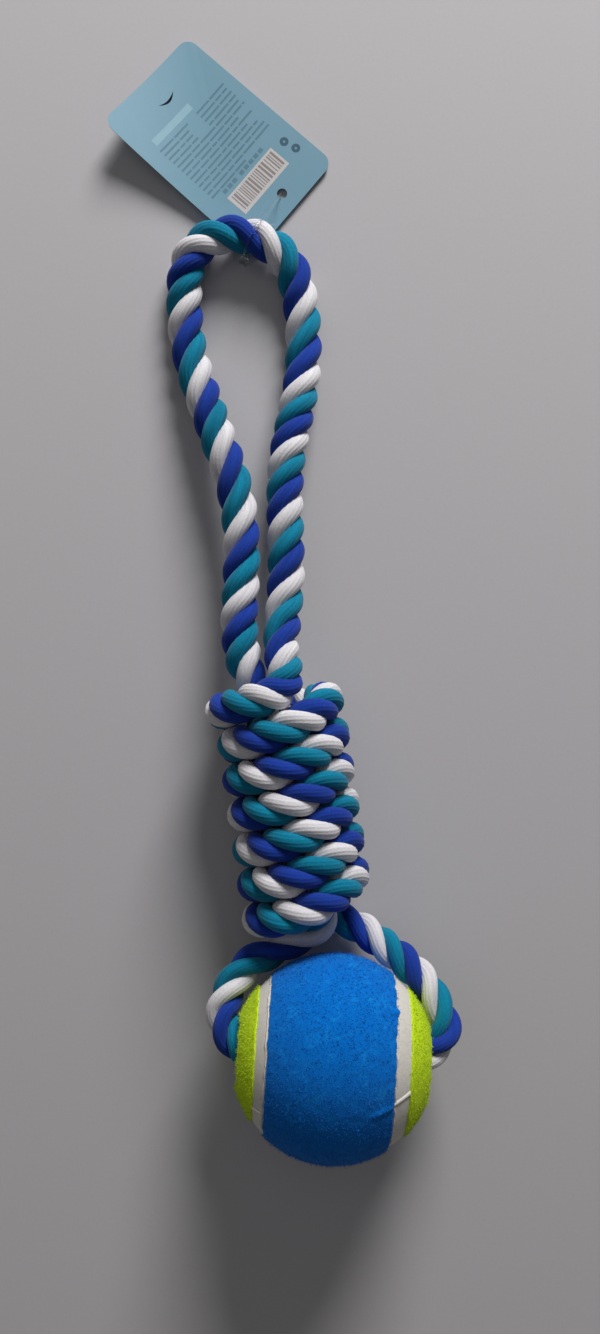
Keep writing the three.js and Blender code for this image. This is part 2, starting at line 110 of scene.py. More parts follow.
class NodeSheet:
    """Adds and links the nodes of one material or node group."""

    def __init__(self, tree: bpy.types.NodeTree) -> None:
        """Takes the tree that the nodes go in."""
        self.tree = tree

    def fill(self, node: bpy.types.Node, inputs: dict[str | int, object]) -> None:
        """Sets or links a node's inputs.

        Args:
            node: The node.
            inputs: Input name or number to a plain value or to another node's output socket.
        """
        for name, value in inputs.items():
            if isinstance(value, bpy.types.NodeSocket):
                self.tree.links.new(value, node.inputs[name])
            else:
                node.inputs[name].default_value = value

    def add(
        self, kind: str, inputs: dict[str | int, object] | None = None, **settings: object
    ) -> bpy.types.Node:
        """Adds a node, sets its properties, and sets or links its inputs.

        Args:
            kind: The node's type name, without ShaderNode.
            inputs: What fill takes.
            settings: Properties of the node.

        Returns:
            The node.
        """
        node = self.tree.nodes.new(kind if kind.startswith("Node") else f"ShaderNode{kind}")
        for name, value in settings.items():
            setattr(node, name, value)
        self.fill(node, inputs or {})
        return node

    def mix(self, factor: object, first: object, second: object) -> bpy.types.NodeSocket:
        """Mixes two colours.

        Args:
            factor: A number or a socket.
            first: The colour or socket at factor 0.
            second: The colour or socket at factor 1.

        Returns:
            The mixed colour's socket.
        """
        return self.add("Mix", {0: factor, 6: first, 7: second}, data_type="RGBA").outputs[2]

    def product(self, first: object, second: object) -> bpy.types.NodeSocket:
        """Multiplies two values."""
        return self.add("Math", {0: first, 1: second}, operation="MULTIPLY").outputs[0]

    def ranged(
        self, value: object, taken: tuple[float, float], given: tuple[float, float]
    ) -> bpy.types.NodeSocket:
        """Turns one range of a value into another and holds it at the ends.

        Args:
            value: The value's socket.
            taken: The two ends of the range that it comes in.
            given: What those two ends become.

        Returns:
            The new value's socket.
        """
        ends = {"From Min": taken[0], "From Max": taken[1], "To Min": given[0], "To Max": given[1]}
        return self.add("MapRange", {"Value": value} | ends).outputs[0]

    def noise(
        self, vector: object, scale: object, detail: float, roughness: float = 0.5, distortion: float = 0.0
    ) -> bpy.types.NodeSocket:
        """Adds a noise pattern.

        Args:
            vector: The coordinates' socket.
            scale: How many waves there are to a unit, as a number or a socket.
            detail: How many finer waves lie over them.
            roughness: How strong the finer waves are.
            distortion: How far the pattern is stirred.

        Returns:
            The pattern's value.
        """
        shape = {"Scale": scale, "Detail": detail, "Roughness": roughness, "Distortion": distortion}
        return self.add("TexNoise", {"Vector": vector} | shape).outputs[0]

    def scaled(self, vector: object, scale: Point, shift: Point = (0.0, 0.0, 0.0)) -> bpy.types.NodeSocket:
        """Scales and shifts coordinates."""
        return self.add("Mapping", {"Vector": vector, "Scale": scale, "Location": shift}).outputs[0]


class Effects:
    """Node groups that more than one finish uses."""

    def __init__(self) -> None:
        """Builds the groups once."""
        self.yarn = self._yarn()
        self.mottle = self._mottle()

    @staticmethod
    def _group(name: str, inputs: dict[str, str]) -> tuple[NodeSheet, bpy.types.Node, bpy.types.Node]:
        """Makes an empty node group that gives a colour and a height.

        Args:
            name: The group's name.
            inputs: Name and kind of each input.

        Returns:
            The group's sheet, its input node and its output node.
        """
        tree = bpy.data.node_groups.new(name, "ShaderNodeTree")
        for socket, kind in inputs.items():
            tree.interface.new_socket(name=socket, in_out="INPUT", socket_type=f"NodeSocket{kind}")
        for socket, kind in (("Colour", "Color"), ("Height", "Float")):
            tree.interface.new_socket(name=socket, in_out="OUTPUT", socket_type=f"NodeSocket{kind}")
        sheet = NodeSheet(tree)
        return sheet, sheet.add("NodeGroupInput"), sheet.add("NodeGroupOutput")

    def _yarn(self) -> bpy.types.NodeTree:
        """Spun yarn: drawn-out fibres with painted shade between them, a tone for each yarn and painted
        highlights.

        The vector counts millimetres along in X and yarns across in Y.
        """
        sheet, entry, leave = self._group(
            "spun_yarn", {"Vector": "Vector", "Colour": "Color", "Shade": "Color", "Fleck": "Color"}
        )
        vector, colour, shade, fleck = list(entry.outputs)[:4]
        fibres = sheet.noise(sheet.scaled(vector, (0.9, 5.0, 1.0)), scale=1.6, detail=3.0, roughness=0.6)
        tones = sheet.noise(sheet.scaled(vector, (0.06, 0.9, 1.0)), scale=1.0, detail=2.0)
        # Painted highlights: sparse lighter specks standing in for stray fibres that catch the light.
        highlight_specks = sheet.noise(
            sheet.scaled(vector, (0.5, 2.2, 1.0), shift=(7.0, 3.0, 0.0)), scale=1.5, detail=4.0, roughness=0.7
        )
        # Painted shade: where the fibres' relief is low, between them, the colour goes towards the shade
        # colour.
        shaded = sheet.mix(sheet.ranged(fibres, taken=(0.30, 0.62), given=(0.75, 0.0)), colour, shade)
        # Each yarn's own tone, darker at random, is real colour and uses the same shade colour.
        toned = sheet.mix(sheet.ranged(tones, taken=(0.35, 0.7), given=(0.0, 0.45)), shaded, shade)
        highlighted = sheet.mix(sheet.ranged(highlight_specks, taken=(0.62, 0.78), given=(0.0, 0.6)), toned, fleck)
        sheet.fill(leave, {"Colour": highlighted, "Height": fibres})
        return sheet.tree

    def _mottle(self) -> bpy.types.NodeTree:
        """Matted fibres or a worn surface: blotches of two tones with a fine grain over them."""
        kinds = {"Vector": "Vector", "Colour": "Color", "Light": "Color", "Dark": "Color"}
        kinds |= {"Blotch scale": "Float", "Grain scale": "Float", "Amount": "Float"}
        sheet, entry, leave = self._group("mottle", kinds)
        vector, amount = entry.outputs["Vector"], entry.outputs["Amount"]
        blotch = sheet.noise(
            vector, scale=entry.outputs["Blotch scale"], detail=4.0, roughness=0.65, distortion=0.8
        )
        grain = sheet.noise(vector, scale=entry.outputs["Grain scale"], detail=3.0, roughness=0.7)
        light = sheet.ranged(blotch, taken=(0.52, 0.72), given=(0.0, 1.0))
        speck = sheet.ranged(grain, taken=(0.42, 0.66), given=(0.45, 1.0))
        dark = sheet.ranged(grain, taken=(0.5, 0.3), given=(0.0, 1.0))
        shaded = sheet.mix(sheet.product(dark, amount), entry.outputs["Colour"], entry.outputs["Dark"])
        lighter = sheet.product(sheet.product(light, speck), amount)
        lit = sheet.mix(lighter, shaded, entry.outputs["Light"])
        sheet.fill(leave, {"Colour": lit, "Height": grain})
        return sheet.tree


@dataclass(frozen=True)
class Look:
    """A finished material and the record's material slot that it stands for."""

    slot: str
    material: bpy.types.Material


def plain_material(name: str) -> tuple[bpy.types.Material, NodeSheet, bpy.types.Node]:
    """Makes a material that has only its shader.

    Args:
        name: The material's name.

    Returns:
        The material, its sheet and its shader.
    """
    material = bpy.data.materials.new(name)
    material.use_nodes = True
    return material, NodeSheet(material.node_tree), material.node_tree.nodes["Principled BSDF"]


@dataclass(frozen=True)
class YarnFinish:
    """The finish of a strand of spun yarn.

    Attributes:
        slot: The record's material slot.
        colour: The yarn's own colour.
        shade: The painted shade between its fibres, where their relief is low, and the darker tone of some
            yarns.
        fleck: The colour of painted highlights, specks where stray fibres catch the light.
        roughness: The surface's roughness.
        sheen: The weight of the fibres' sheen.
        sheen_roughness: How wide the sheen spreads.
        specular: How much light its surface reflects.
        bump: How strongly the fibres' relief shows.
        relief: The fibres' height in metres.
    """

    slot: str
    colour: Colour
    shade: Colour
    fleck: Colour
    roughness: float = 0.92
    sheen: float = 0.1
    sheen_roughness: float = 0.5
    specular: float = 0.2
    bump: float = 0.32
    relief: float = 0.3 * MM

    def make(self, effects: Effects) -> Look:
        """Builds the material.

        Args:
            effects: The shared node groups.

        Returns:
            The look, whose material reads the piece's own UV map.
        """
        material, sheet, shader = plain_material(self.slot)
        place = sheet.add("UVMap", uv_map="along")
        tones = {"Colour": self.colour, "Shade": self.shade, "Fleck": self.fleck}
        yarn = sheet.add("Group", {"Vector": place.outputs[0]} | tones, node_tree=effects.yarn)
        bump = sheet.add(
            "Bump", {"Height": yarn.outputs["Height"], "Strength": self.bump, "Distance": self.relief}
        )
        sheet.fill(shader, {
            "Base Color": yarn.outputs["Colour"],
            "Normal": bump.outputs[0],
            "Roughness": self.roughness,
            "Sheen Weight": self.sheen,
            "Sheen Roughness": self.sheen_roughness,
            "Specular IOR Level": self.specular,
        })
        return Look(self.slot, material)


@dataclass(frozen=True)
class MottledFinish:
    """A finish with blotches and grain on the object's own coordinates: felt, rubber, card, tape.

    Attributes:
        slot: The record's material slot.
        name: The material's name.
        colour: The main colour.
        light: The colour of the light blotches.
        dark: The colour of the dark grain.
        blotch: How many blotches there are to a metre.
        grain: How many grains there are to a metre.
        amount: How strong they are, from 0 to 1.
        roughness: The surface's roughness.
        relief: The grain's height in metres.
        sheen: The weight of the fibres' sheen.
        sheen_roughness: How wide the sheen spreads.
        specular: How much light its surface reflects.
        bump: How strongly the grain's relief shows.
    """

    slot: str
    name: str
    colour: Colour
    light: Colour
    dark: Colour
    blotch: float
    grain: float
    amount: float
    roughness: float
    relief: float
    sheen: float = 0.0
    sheen_roughness: float = 0.6
    specular: float = 0.3
    bump: float = 0.6

    def make(self, effects: Effects) -> Look:
        """Builds the material.

        Args:
            effects: The shared node groups.

        Returns:
            The look.
        """
        material, sheet, shader = plain_material(self.name)
        place = sheet.add("TexCoord")
        tones = {"Colour": self.colour, "Light": self.light, "Dark": self.dark}
        pattern = {"Blotch scale": self.blotch, "Grain scale": self.grain, "Amount": self.amount}
        mottle = sheet.add(
            "Group", {"Vector": place.outputs["Object"]} | tones | pattern, node_tree=effects.mottle
        )
        bump = sheet.add(
            "Bump", {"Height": mottle.outputs["Height"], "Strength": self.bump, "Distance": self.relief}
        )
        sheet.fill(shader, {
            "Base Color": mottle.outputs["Colour"],
            "Normal": bump.outputs[0],
            "Roughness": self.roughness,
            "Sheen Weight": self.sheen,
            "Sheen Roughness": self.sheen_roughness,
            "Specular IOR Level": self.specular,
        })
        return Look(self.slot, material)


@dataclass(frozen=True)
class ClearFinish:
    """Clear glossy plastic.

    Attributes:
        slot: The record's material slot.
        tint: The colour of the light that comes through it.
        index: Its index of refraction, lower than the plastic's own so that a thin thread stays clear.
        grain: How many grains there are to a metre.
        roughness: Its least and greatest roughness.
    """

    slot: str
    tint: Colour = (0.97, 0.98, 0.99, 1)
    index: float = 1.25
    grain: float = 1500
    roughness: tuple[float, float] = (0.02, 0.08)

    def make(self, effects: Effects) -> Look:
        """Builds the material.

        Args:
            effects: The shared node groups, whose grain roughens the plastic a little.

        Returns:
            The look.
        """
        material, sheet, shader = plain_material(self.slot)
        place = sheet.add("TexCoord")
        mottle = sheet.add(
            "Group", {"Vector": place.outputs["Object"], "Grain scale": self.grain}, node_tree=effects.mottle
        )
        sheet.fill(shader, {
            "Base Color": self.tint,
            "Transmission Weight": 1.0,
            "IOR": self.index,
            "Roughness": sheet.ranged(mottle.outputs["Height"], taken=(0.0, 1.0), given=self.roughness),
        })
        return Look(self.slot, material)


class Finishes:
    """Every finish of the toy, made once."""

    def __init__(self) -> None:
        """Builds the shared groups and the materials."""
        effects = Effects()
        # Each strand's colour, the painted shade between its fibres and the colour of its painted highlights.
        self.strands = {
            strand: YarnFinish(f"rope_{strand.name.lower()}", colour, shade, fleck).make(effects)
            for strand, colour, shade, fleck in (
                (Strand.WHITE, srgb(236, 233, 235), srgb(180, 177, 184), srgb(250, 250, 250)),
                (Strand.TEAL, srgb(0, 138, 172), srgb(0, 78, 104), srgb(44, 176, 202)),
                (Strand.BLUE, srgb(24, 66, 172), srgb(12, 32, 98), srgb(64, 108, 208)),
            )
        }
        woolly = partial(MottledFinish, roughness=1.0, specular=0.06)
        felt = partial(woolly, grain=1900, relief=0.2 * MM, sheen=0.04)
        fuzz = partial(woolly, blotch=180, grain=1400, relief=0.1 * MM, sheen=0.06)
        self.blue_felt = felt(
            "felt_blue", "felt_blue", srgb(0, 108, 198), srgb(24, 150, 228), srgb(0, 78, 164),
            blotch=230, amount=0.7,
        ).make(effects)
        self.blue_fuzz = fuzz(
            "felt_blue", "felt_blue_fuzz", srgb(4, 120, 214), srgb(56, 166, 234), srgb(0, 84, 172),
            amount=0.7,
        ).make(effects)
        self.lime_felt = felt(
            "felt_lime", "felt_lime", srgb(198, 228, 26), srgb(222, 244, 70), srgb(168, 200, 12),
            blotch=220, amount=0.6,
        ).make(effects)
        self.lime_fuzz = fuzz(
            "felt_lime", "felt_lime_fuzz", srgb(208, 238, 38), srgb(230, 248, 92), srgb(172, 206, 18),
            amount=0.5,
        ).make(effects)
        self.rubber = MottledFinish(
            "ball_rubber", "ball_rubber", srgb(214, 209, 200), srgb(228, 224, 216), srgb(188, 183, 174),
            blotch=90, grain=900, amount=0.5, roughness=0.62, relief=0.12 * MM,
        ).make(effects)
        self.tape = MottledFinish(
            "end_tape", "end_tape", srgb(226, 223, 214), srgb(236, 234, 228), srgb(198, 194, 184),
            blotch=200, grain=2200, amount=0.5, roughness=0.8, relief=0.1 * MM, sheen=0.1,
        ).make(effects)
        self.card = MottledFinish(
            "tag_card", "tag_card", srgb(122, 162, 180), srgb(134, 172, 188), srgb(110, 148, 166),
            blotch=60, grain=2600, amount=0.3, roughness=0.42, relief=0.02 * MM,
        ).make(effects)
        ink = partial(
            MottledFinish, "tag_card", blotch=80, grain=2600, amount=0.3, roughness=0.5, relief=0.01 * MM
        )
        self.print_white, self.print_pale, self.print_dark, self.print_deep, self.print_grey = (
            ink(f"tag_print_{name}", colour, light, dark).make(effects)
            for name, colour, light, dark in (
                ("white", srgb(204, 200, 198), srgb(214, 210, 208), srgb(188, 186, 186)),
                ("pale", srgb(144, 182, 197), srgb(152, 190, 204), srgb(136, 174, 190)),
                ("dark", srgb(96, 134, 152), srgb(106, 144, 160), srgb(86, 122, 140)),
                ("deep", srgb(64, 98, 116), srgb(76, 110, 126), srgb(54, 86, 104)),
                ("grey", srgb(146, 137, 136), srgb(158, 150, 148), srgb(126, 118, 118)),
            )
        )
        self.clear = ClearFinish("clear_plastic").make(effects)


def give(piece: bpy.types.Object, body: str, look: Look, *nodes: str) -> bpy.types.Object:
    """Dresses a piece, puts it on its body and hides the CAD nodes that it replaces.

    Args:
        piece: The piece.
        body: The body that it rides on.
        look: Its finish, whose material it takes; its slot is not used.
        nodes: The CAD nodes that it replaces.

    Returns:
        The piece.
    """
    piece.data.materials.clear()
    piece.data.materials.append(look.material)
    if nodes:
        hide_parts(*nodes)
    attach(piece, body)
    LOG.info("%s: %d faces on %s", piece.name, len(piece.data.polygons), body)
    return piece


def mesh_piece(
    name: str, vertices: np.ndarray, faces: Sequence[Sequence[int]], smooth: bool = True
) -> bpy.types.Object:
    """Makes an object from vertices and faces.

    Args:
        name: The piece's name.
        vertices: Places, one row each.
        faces: Vertex numbers of each face.
        smooth: Whether the faces are shaded smooth.

    Returns:
        The object, linked to the scene.
    """
    mesh = bpy.data.meshes.new(name)
    mesh.from_pydata(np.asarray(vertices).tolist(), [], [list(face) for face in faces])
    mesh.polygons.foreach_set("use_smooth", [smooth] * len(mesh.polygons))
    mesh.update()
    piece = bpy.data.objects.new(name, mesh)
    bpy.context.scene.collection.objects.link(piece)
    return piece


class Bench:
    """Operators on one object at a time, as on a bench."""

    @staticmethod
    def clear() -> None:
        """Deselects everything."""
        if bpy.context.object and bpy.context.object.mode != "OBJECT":
            bpy.ops.object.mode_set(mode="OBJECT")
        bpy.ops.object.select_all(action="DESELECT")

    @staticmethod
    def take(piece: bpy.types.Object) -> None:
        """Selects one object alone and makes it active."""
        Bench.clear()
        piece.select_set(True)
        bpy.context.view_layer.objects.active = piece

    @staticmethod
    def start(name: str, primitive: Callable[..., object], **settings: object) -> bpy.types.Object:
        """Adds a primitive, names it and bakes its place into its mesh.

        Args:
            name: The piece's name.
            primitive: Blender's operator that adds it.
            settings: Its size and place.

        Returns:
            The piece.
        """
        Bench.clear()
        primitive(**settings)
        piece = bpy.context.object
        piece.name = name
        piece.data.name = name
        Bench.take(piece)
        bpy.ops.object.transform_apply(location=True, rotation=True, scale=True)
        return piece

    @staticmethod
    def score(piece: bpy.types.Object, point: Vector, normal: Vector, **settings: bool) -> None:
        """Cuts a piece's faces along a plane.

        Args:
            piece: The piece.
            point: A point on the plane.
            normal: The plane's normal.
            settings: Which side is dropped and whether the cut is closed. Without them both sides stay.
        """
        Bench.take(piece)
        bpy.ops.object.mode_set(mode="EDIT")
        bpy.ops.mesh.select_all(action="SELECT")
        bpy.ops.mesh.bisect(plane_co=point, plane_no=normal, **settings)
        bpy.ops.object.mode_set(mode="OBJECT")

    @staticmethod
    def trim(
        piece: bpy.types.Object, way: Vector, low: Vector, high: Vector, fill: bool = False
    ) -> None:
        """Keeps what lies between two planes.

        Args:
            piece: The piece.
            way: The normal of both planes, from the low one to the high one.
            low: A point on the low plane.
            high: A point on the high plane.
            fill: Whether the cuts are closed with a face.
        """
        Bench.score(piece, low, way, use_fill=fill, clear_inner=True)
        Bench.score(piece, high, way, use_fill=fill, clear_outer=True)

    @staticmethod
    def apply(piece: bpy.types.Object, kind: str, **settings: object) -> None:
        """Adds a modifier and applies it.

        Args:
            piece: The piece.
            kind: The modifier's type.
            settings: The modifier's properties.
        """
        Bench.take(piece)
        modifier = piece.modifiers.new(kind.lower(), kind)
        for name, value in settings.items():
            setattr(modifier, name, value)
        bpy.ops.object.modifier_apply(modifier=modifier.name)

    @staticmethod
    def shade(piece: bpy.types.Object, degrees: float = 40) -> None:
        """Shades a piece smooth, apart from its sharp edges."""
        Bench.take(piece)
        bpy.ops.object.shade_smooth_by_angle(angle=math.radians(degrees))


class Curves:
    """Plain curve mathematics for the rope and the filament."""

    @staticmethod
    def hermite(
        t: float | np.ndarray, start: np.ndarray, leave: np.ndarray, end: np.ndarray, arrive: np.ndarray
    ) -> np.ndarray:
        """Blends smoothly from one value to another.

        Args:
            t: How far along, from 0 to 1.
            start: The first value.
            leave: Its slope there.
            end: The second value.
            arrive: Its slope there.

        Returns:
            The value between them.
        """
        return (
            (2 * t**3 - 3 * t**2 + 1) * start
            + (t**3 - 2 * t**2 + t) * leave
            + (3 * t**2 - 2 * t**3) * end
            + (t**3 - t**2) * arrive
        )

    @staticmethod
    def catmull(route: Sequence[Point], steps: int = 24) -> np.ndarray:
        """Runs a centripetal Catmull-Rom curve through a route.

        Args:
            route: The places that it goes through.
            steps: How many places it gives for each one of the route.

        Returns:
            The places along it, one row each.
        """
        points = [np.array(place, float) for place in route]
        made = []
        for index in range(len(points) - 1):
            start, end = points[index], points[index + 1]
            before = points[index - 1] if index > 0 else 2 * start - end
            after = points[index + 2] if index + 2 < len(points) else 2 * end - start
            first, middle, last = (
                max(math.sqrt(float(np.linalg.norm(b - a))), TINY)
                for a, b in ((before, start), (start, end), (end, after))
            )
            leave = (start - before) / first - (end - before) / (first + middle) + (end - start) / middle
            arrive = (end - start) / middle - (after - start) / (middle + last) + (after - end) / last
            for step in range(steps):
                made.append(Curves.hermite(step / steps, start, leave * middle, end, arrive * middle))
        made.append(points[-1])
        return np.array(made)

    @staticmethod
    def along(line: np.ndarray) -> np.ndarray:
        """Gives each place's distance along a line."""
        return np.concatenate([[0.0], np.cumsum(np.linalg.norm(np.diff(line, axis=0), axis=1))])

    @staticmethod
    def respaced(line: np.ndarray, step: float) -> np.ndarray:
        """Spaces a line's places evenly, about a step apart."""
        distances = Curves.along(line)
        count = max(int(round(distances[-1] / step)), 2)
        wanted = np.linspace(0, distances[-1], count + 1)
        return np.stack([np.interp(wanted, distances, line[:, axis]) for axis in range(3)], axis=1)

    @staticmethod
    def unit(rows: np.ndarray) -> np.ndarray:
        """Scales each row to length one."""
        return rows / np.maximum(np.linalg.norm(rows, axis=-1, keepdims=True), TINY)

    @staticmethod
    def headings(line: np.ndarray) -> np.ndarray:
        """Gives the direction of travel at each place."""
        return Curves.unit(np.gradient(line, axis=0))

    @staticmethod
    def eased(places: np.ndarray, marks: np.ndarray, values: np.ndarray) -> np.ndarray:
        """Runs a smooth curve through marked values and straight on past its ends.

        Args:
            places: Where the values are wanted.
            marks: Where they are known.
            values: The known values.

        Returns:
            The values wanted.
        """
        slopes = np.gradient(values, marks)
        index = np.clip(np.searchsorted(marks, places) - 1, 0, len(marks) - 2)
        width = marks[index + 1] - marks[index]
        inside = Curves.hermite(
            (places - marks[index]) / width,
            values[index], width * slopes[index], values[index + 1], width * slopes[index + 1],
        )
        before = values[0] + (places - marks[0]) * slopes[0]
        after = values[-1] + (places - marks[-1]) * slopes[-1]
        return np.where(places < marks[0], before, np.where(places > marks[-1], after, inside))


@dataclass(frozen=True)
class Stretch:
    """One stretch of the rope, as one CAD node holds it.

    Attributes:
        node: The CAD node.
        line: Its centreline.
        diameter: The rope's diameter there.
        whites: How far along it the white strand faces outwards.
        wound: Whether outwards is away from the grip's axis, and not towards the viewer.
    """

    node: str
    line: np.ndarray
    diameter: float
    whites: tuple[float, ...] = ()
    wound: bool = False


@dataclass(frozen=True)
class Run:
    """A run of the rope that is modelled as one piece for each strand.

    Attributes:
        name: The run's name.
        stretches: The stretches that it is made of.
        free_diameter: The rope's diameter where the run is a free cord, or 0.
    """

    name: str
    stretches: tuple[Stretch, ...]
    free_diameter: float = 0.0


@dataclass
class Winding:
    """The grip's turns, on the same helix as the CAD winding.

    Angles are in degrees from the middle turn's underside, with the rope's travel.
    """

    outer_diameter: float = 41.6 * MM
    cad_rope_diameter: float = 10 * MM
    settled_share: float = 0.1
    rope_diameter: float = 11.5 * MM
    pitch: float = 11.17 * MM
    lean: float = 3.12 * MM
    bow: float = 0.4 * MM
    skew: float = 1.14 * MM
    stand_off: float = 2.4 * MM
    axis_offset: float = 1.42 * MM
    axis_slope: float = -0.044
    first_turn: float = -1245
    stand_off_start: float = -1170
    stand_off_end: float = -930
    last_turn: float = 1080
    step: float = 15
    curve_steps: int = 12
    lead_in_route: tuple[Point, ...] = (
        (0.00335, 0.06035, 0.02315), (0.0026, 0.05609, 0.02566), (0.0023, 0.0523, 0.0277),
        (0.00275, 0.049, 0.0294), (0.0032, 0.046, 0.0309), (0.00289, 0.04402, 0.0319),
        (0.00198, 0.04224, 0.0328), (0.00056, 0.04082, 0.0337), (-0.00122, 0.03991, 0.0345),
        (-0.0035, 0.0394, 0.0351),
    )
    end: Point = (14.6 * MM, -37.4 * MM, 7.4 * MM)
    end_heading: Point = (0.86, -0.36, 0.37)
    lead_out_steps: int = 3
    first_whites: tuple[float, ...] = (11.5 * MM, 27.5 * MM)
    white_angle: float = 22
    white_spacing: float = 67.4
    white_swing: float = 14
    last_white: float = 1040

    @property
    def height(self) -> float:
        """The height of the grip's axis, with the soft rope a little settled on the table."""
        return self.outer_diameter / 2 - self.cad_rope_diameter * self.settled_share

    @property
    def radius(self) -> float:
        """The radius of the rope's centreline about the axis."""
        return (self.outer_diameter - self.cad_rope_diameter) / 2

    def axis_x(self, y: np.ndarray | float) -> np.ndarray | float:
        """Gives the axis's place across the grip."""
        return self.axis_offset + self.axis_slope * y

    def turn(self, degrees: float) -> np.ndarray:
        """Gives a place on the helix.

        Args:
            degrees: The angle there.

        Returns:
            The place.
        """
        angle = math.radians(degrees)
        t = (degrees - self.stand_off_start) / (self.stand_off_end - self.stand_off_start)
        t = min(max(t, 0.0), 1.0)
        off = self.stand_off * (1 - t * t * (3 - 2 * t))
        y = self.lean * math.sin(angle) + self.bow * (1 - math.cos(angle))
        y += self.skew * (1 - math.cos(2 * angle)) - self.pitch * degrees / 360
        x = self.axis_x(y) + self.radius * math.sin(angle) - off
        return np.array([x, y, self.height - self.radius * math.cos(angle)])

    def heading(self, degrees: float) -> np.ndarray:
        """Gives the helix's direction of travel."""
        return Curves.unit(self.turn(degrees + 1) - self.turn(degrees))

    @staticmethod
    def lead(
        start: np.ndarray, leave: np.ndarray, end: np.ndarray, arrive: np.ndarray, steps: int
    ) -> list[np.ndarray]:
        """Gives the places of a smooth lead between two headings.

        Args:
            start: Where it leaves.
            leave: Its heading there.
            end: Where it arrives.
            arrive: Its heading there.
            steps: How many steps it has.

        Returns:
            The places between its ends.
        """
        reach = float(np.linalg.norm(end - start))
        leave, arrive = reach * leave, reach * arrive
        return [Curves.hermite(step / steps, start, leave, end, arrive) for step in range(1, steps)]

    def stretch(self) -> Stretch:
        """Builds the winding's stretch of rope.

        Returns:
            The stretch, with the places where its white strand faces outwards.
        """
        straight = self.cad_rope_diameter
        end = np.array(self.end)
        arrive = Curves.unit(np.array(self.end_heading))
        lead_out = end - arrive * straight
        angles = np.arange(self.first_turn, self.last_turn + 1, self.step)
        turns = [self.turn(angle) for angle in angles]
        head = [np.array(place) for place in self.lead_in_route]
        tail = self.lead(turns[-1], self.heading(self.last_turn), lead_out, arrive, self.lead_out_steps)
        tail += [lead_out, end - arrive * straight / 2, end]
        line = Curves.catmull([tuple(place) for place in head + turns + tail], self.curve_steps)
        distances = Curves.along(line)[:: self.curve_steps][len(head) : len(head) + len(turns)]
        first = math.ceil((self.first_turn + self.white_spacing / 2 - self.white_angle) / self.white_spacing)
        last = math.floor((self.last_white - self.white_angle) / self.white_spacing)
        facing = [self.white_angle + self.white_spacing * index for index in range(first, last + 1)]
        facing = [angle - self.white_swing * math.sin(math.radians(angle)) for angle in facing]
        whites = self.first_whites + tuple(float(d) for d in np.interp(facing, angles, distances))
        return Stretch("grip_winding", line, self.rope_diameter, whites, wound=True)


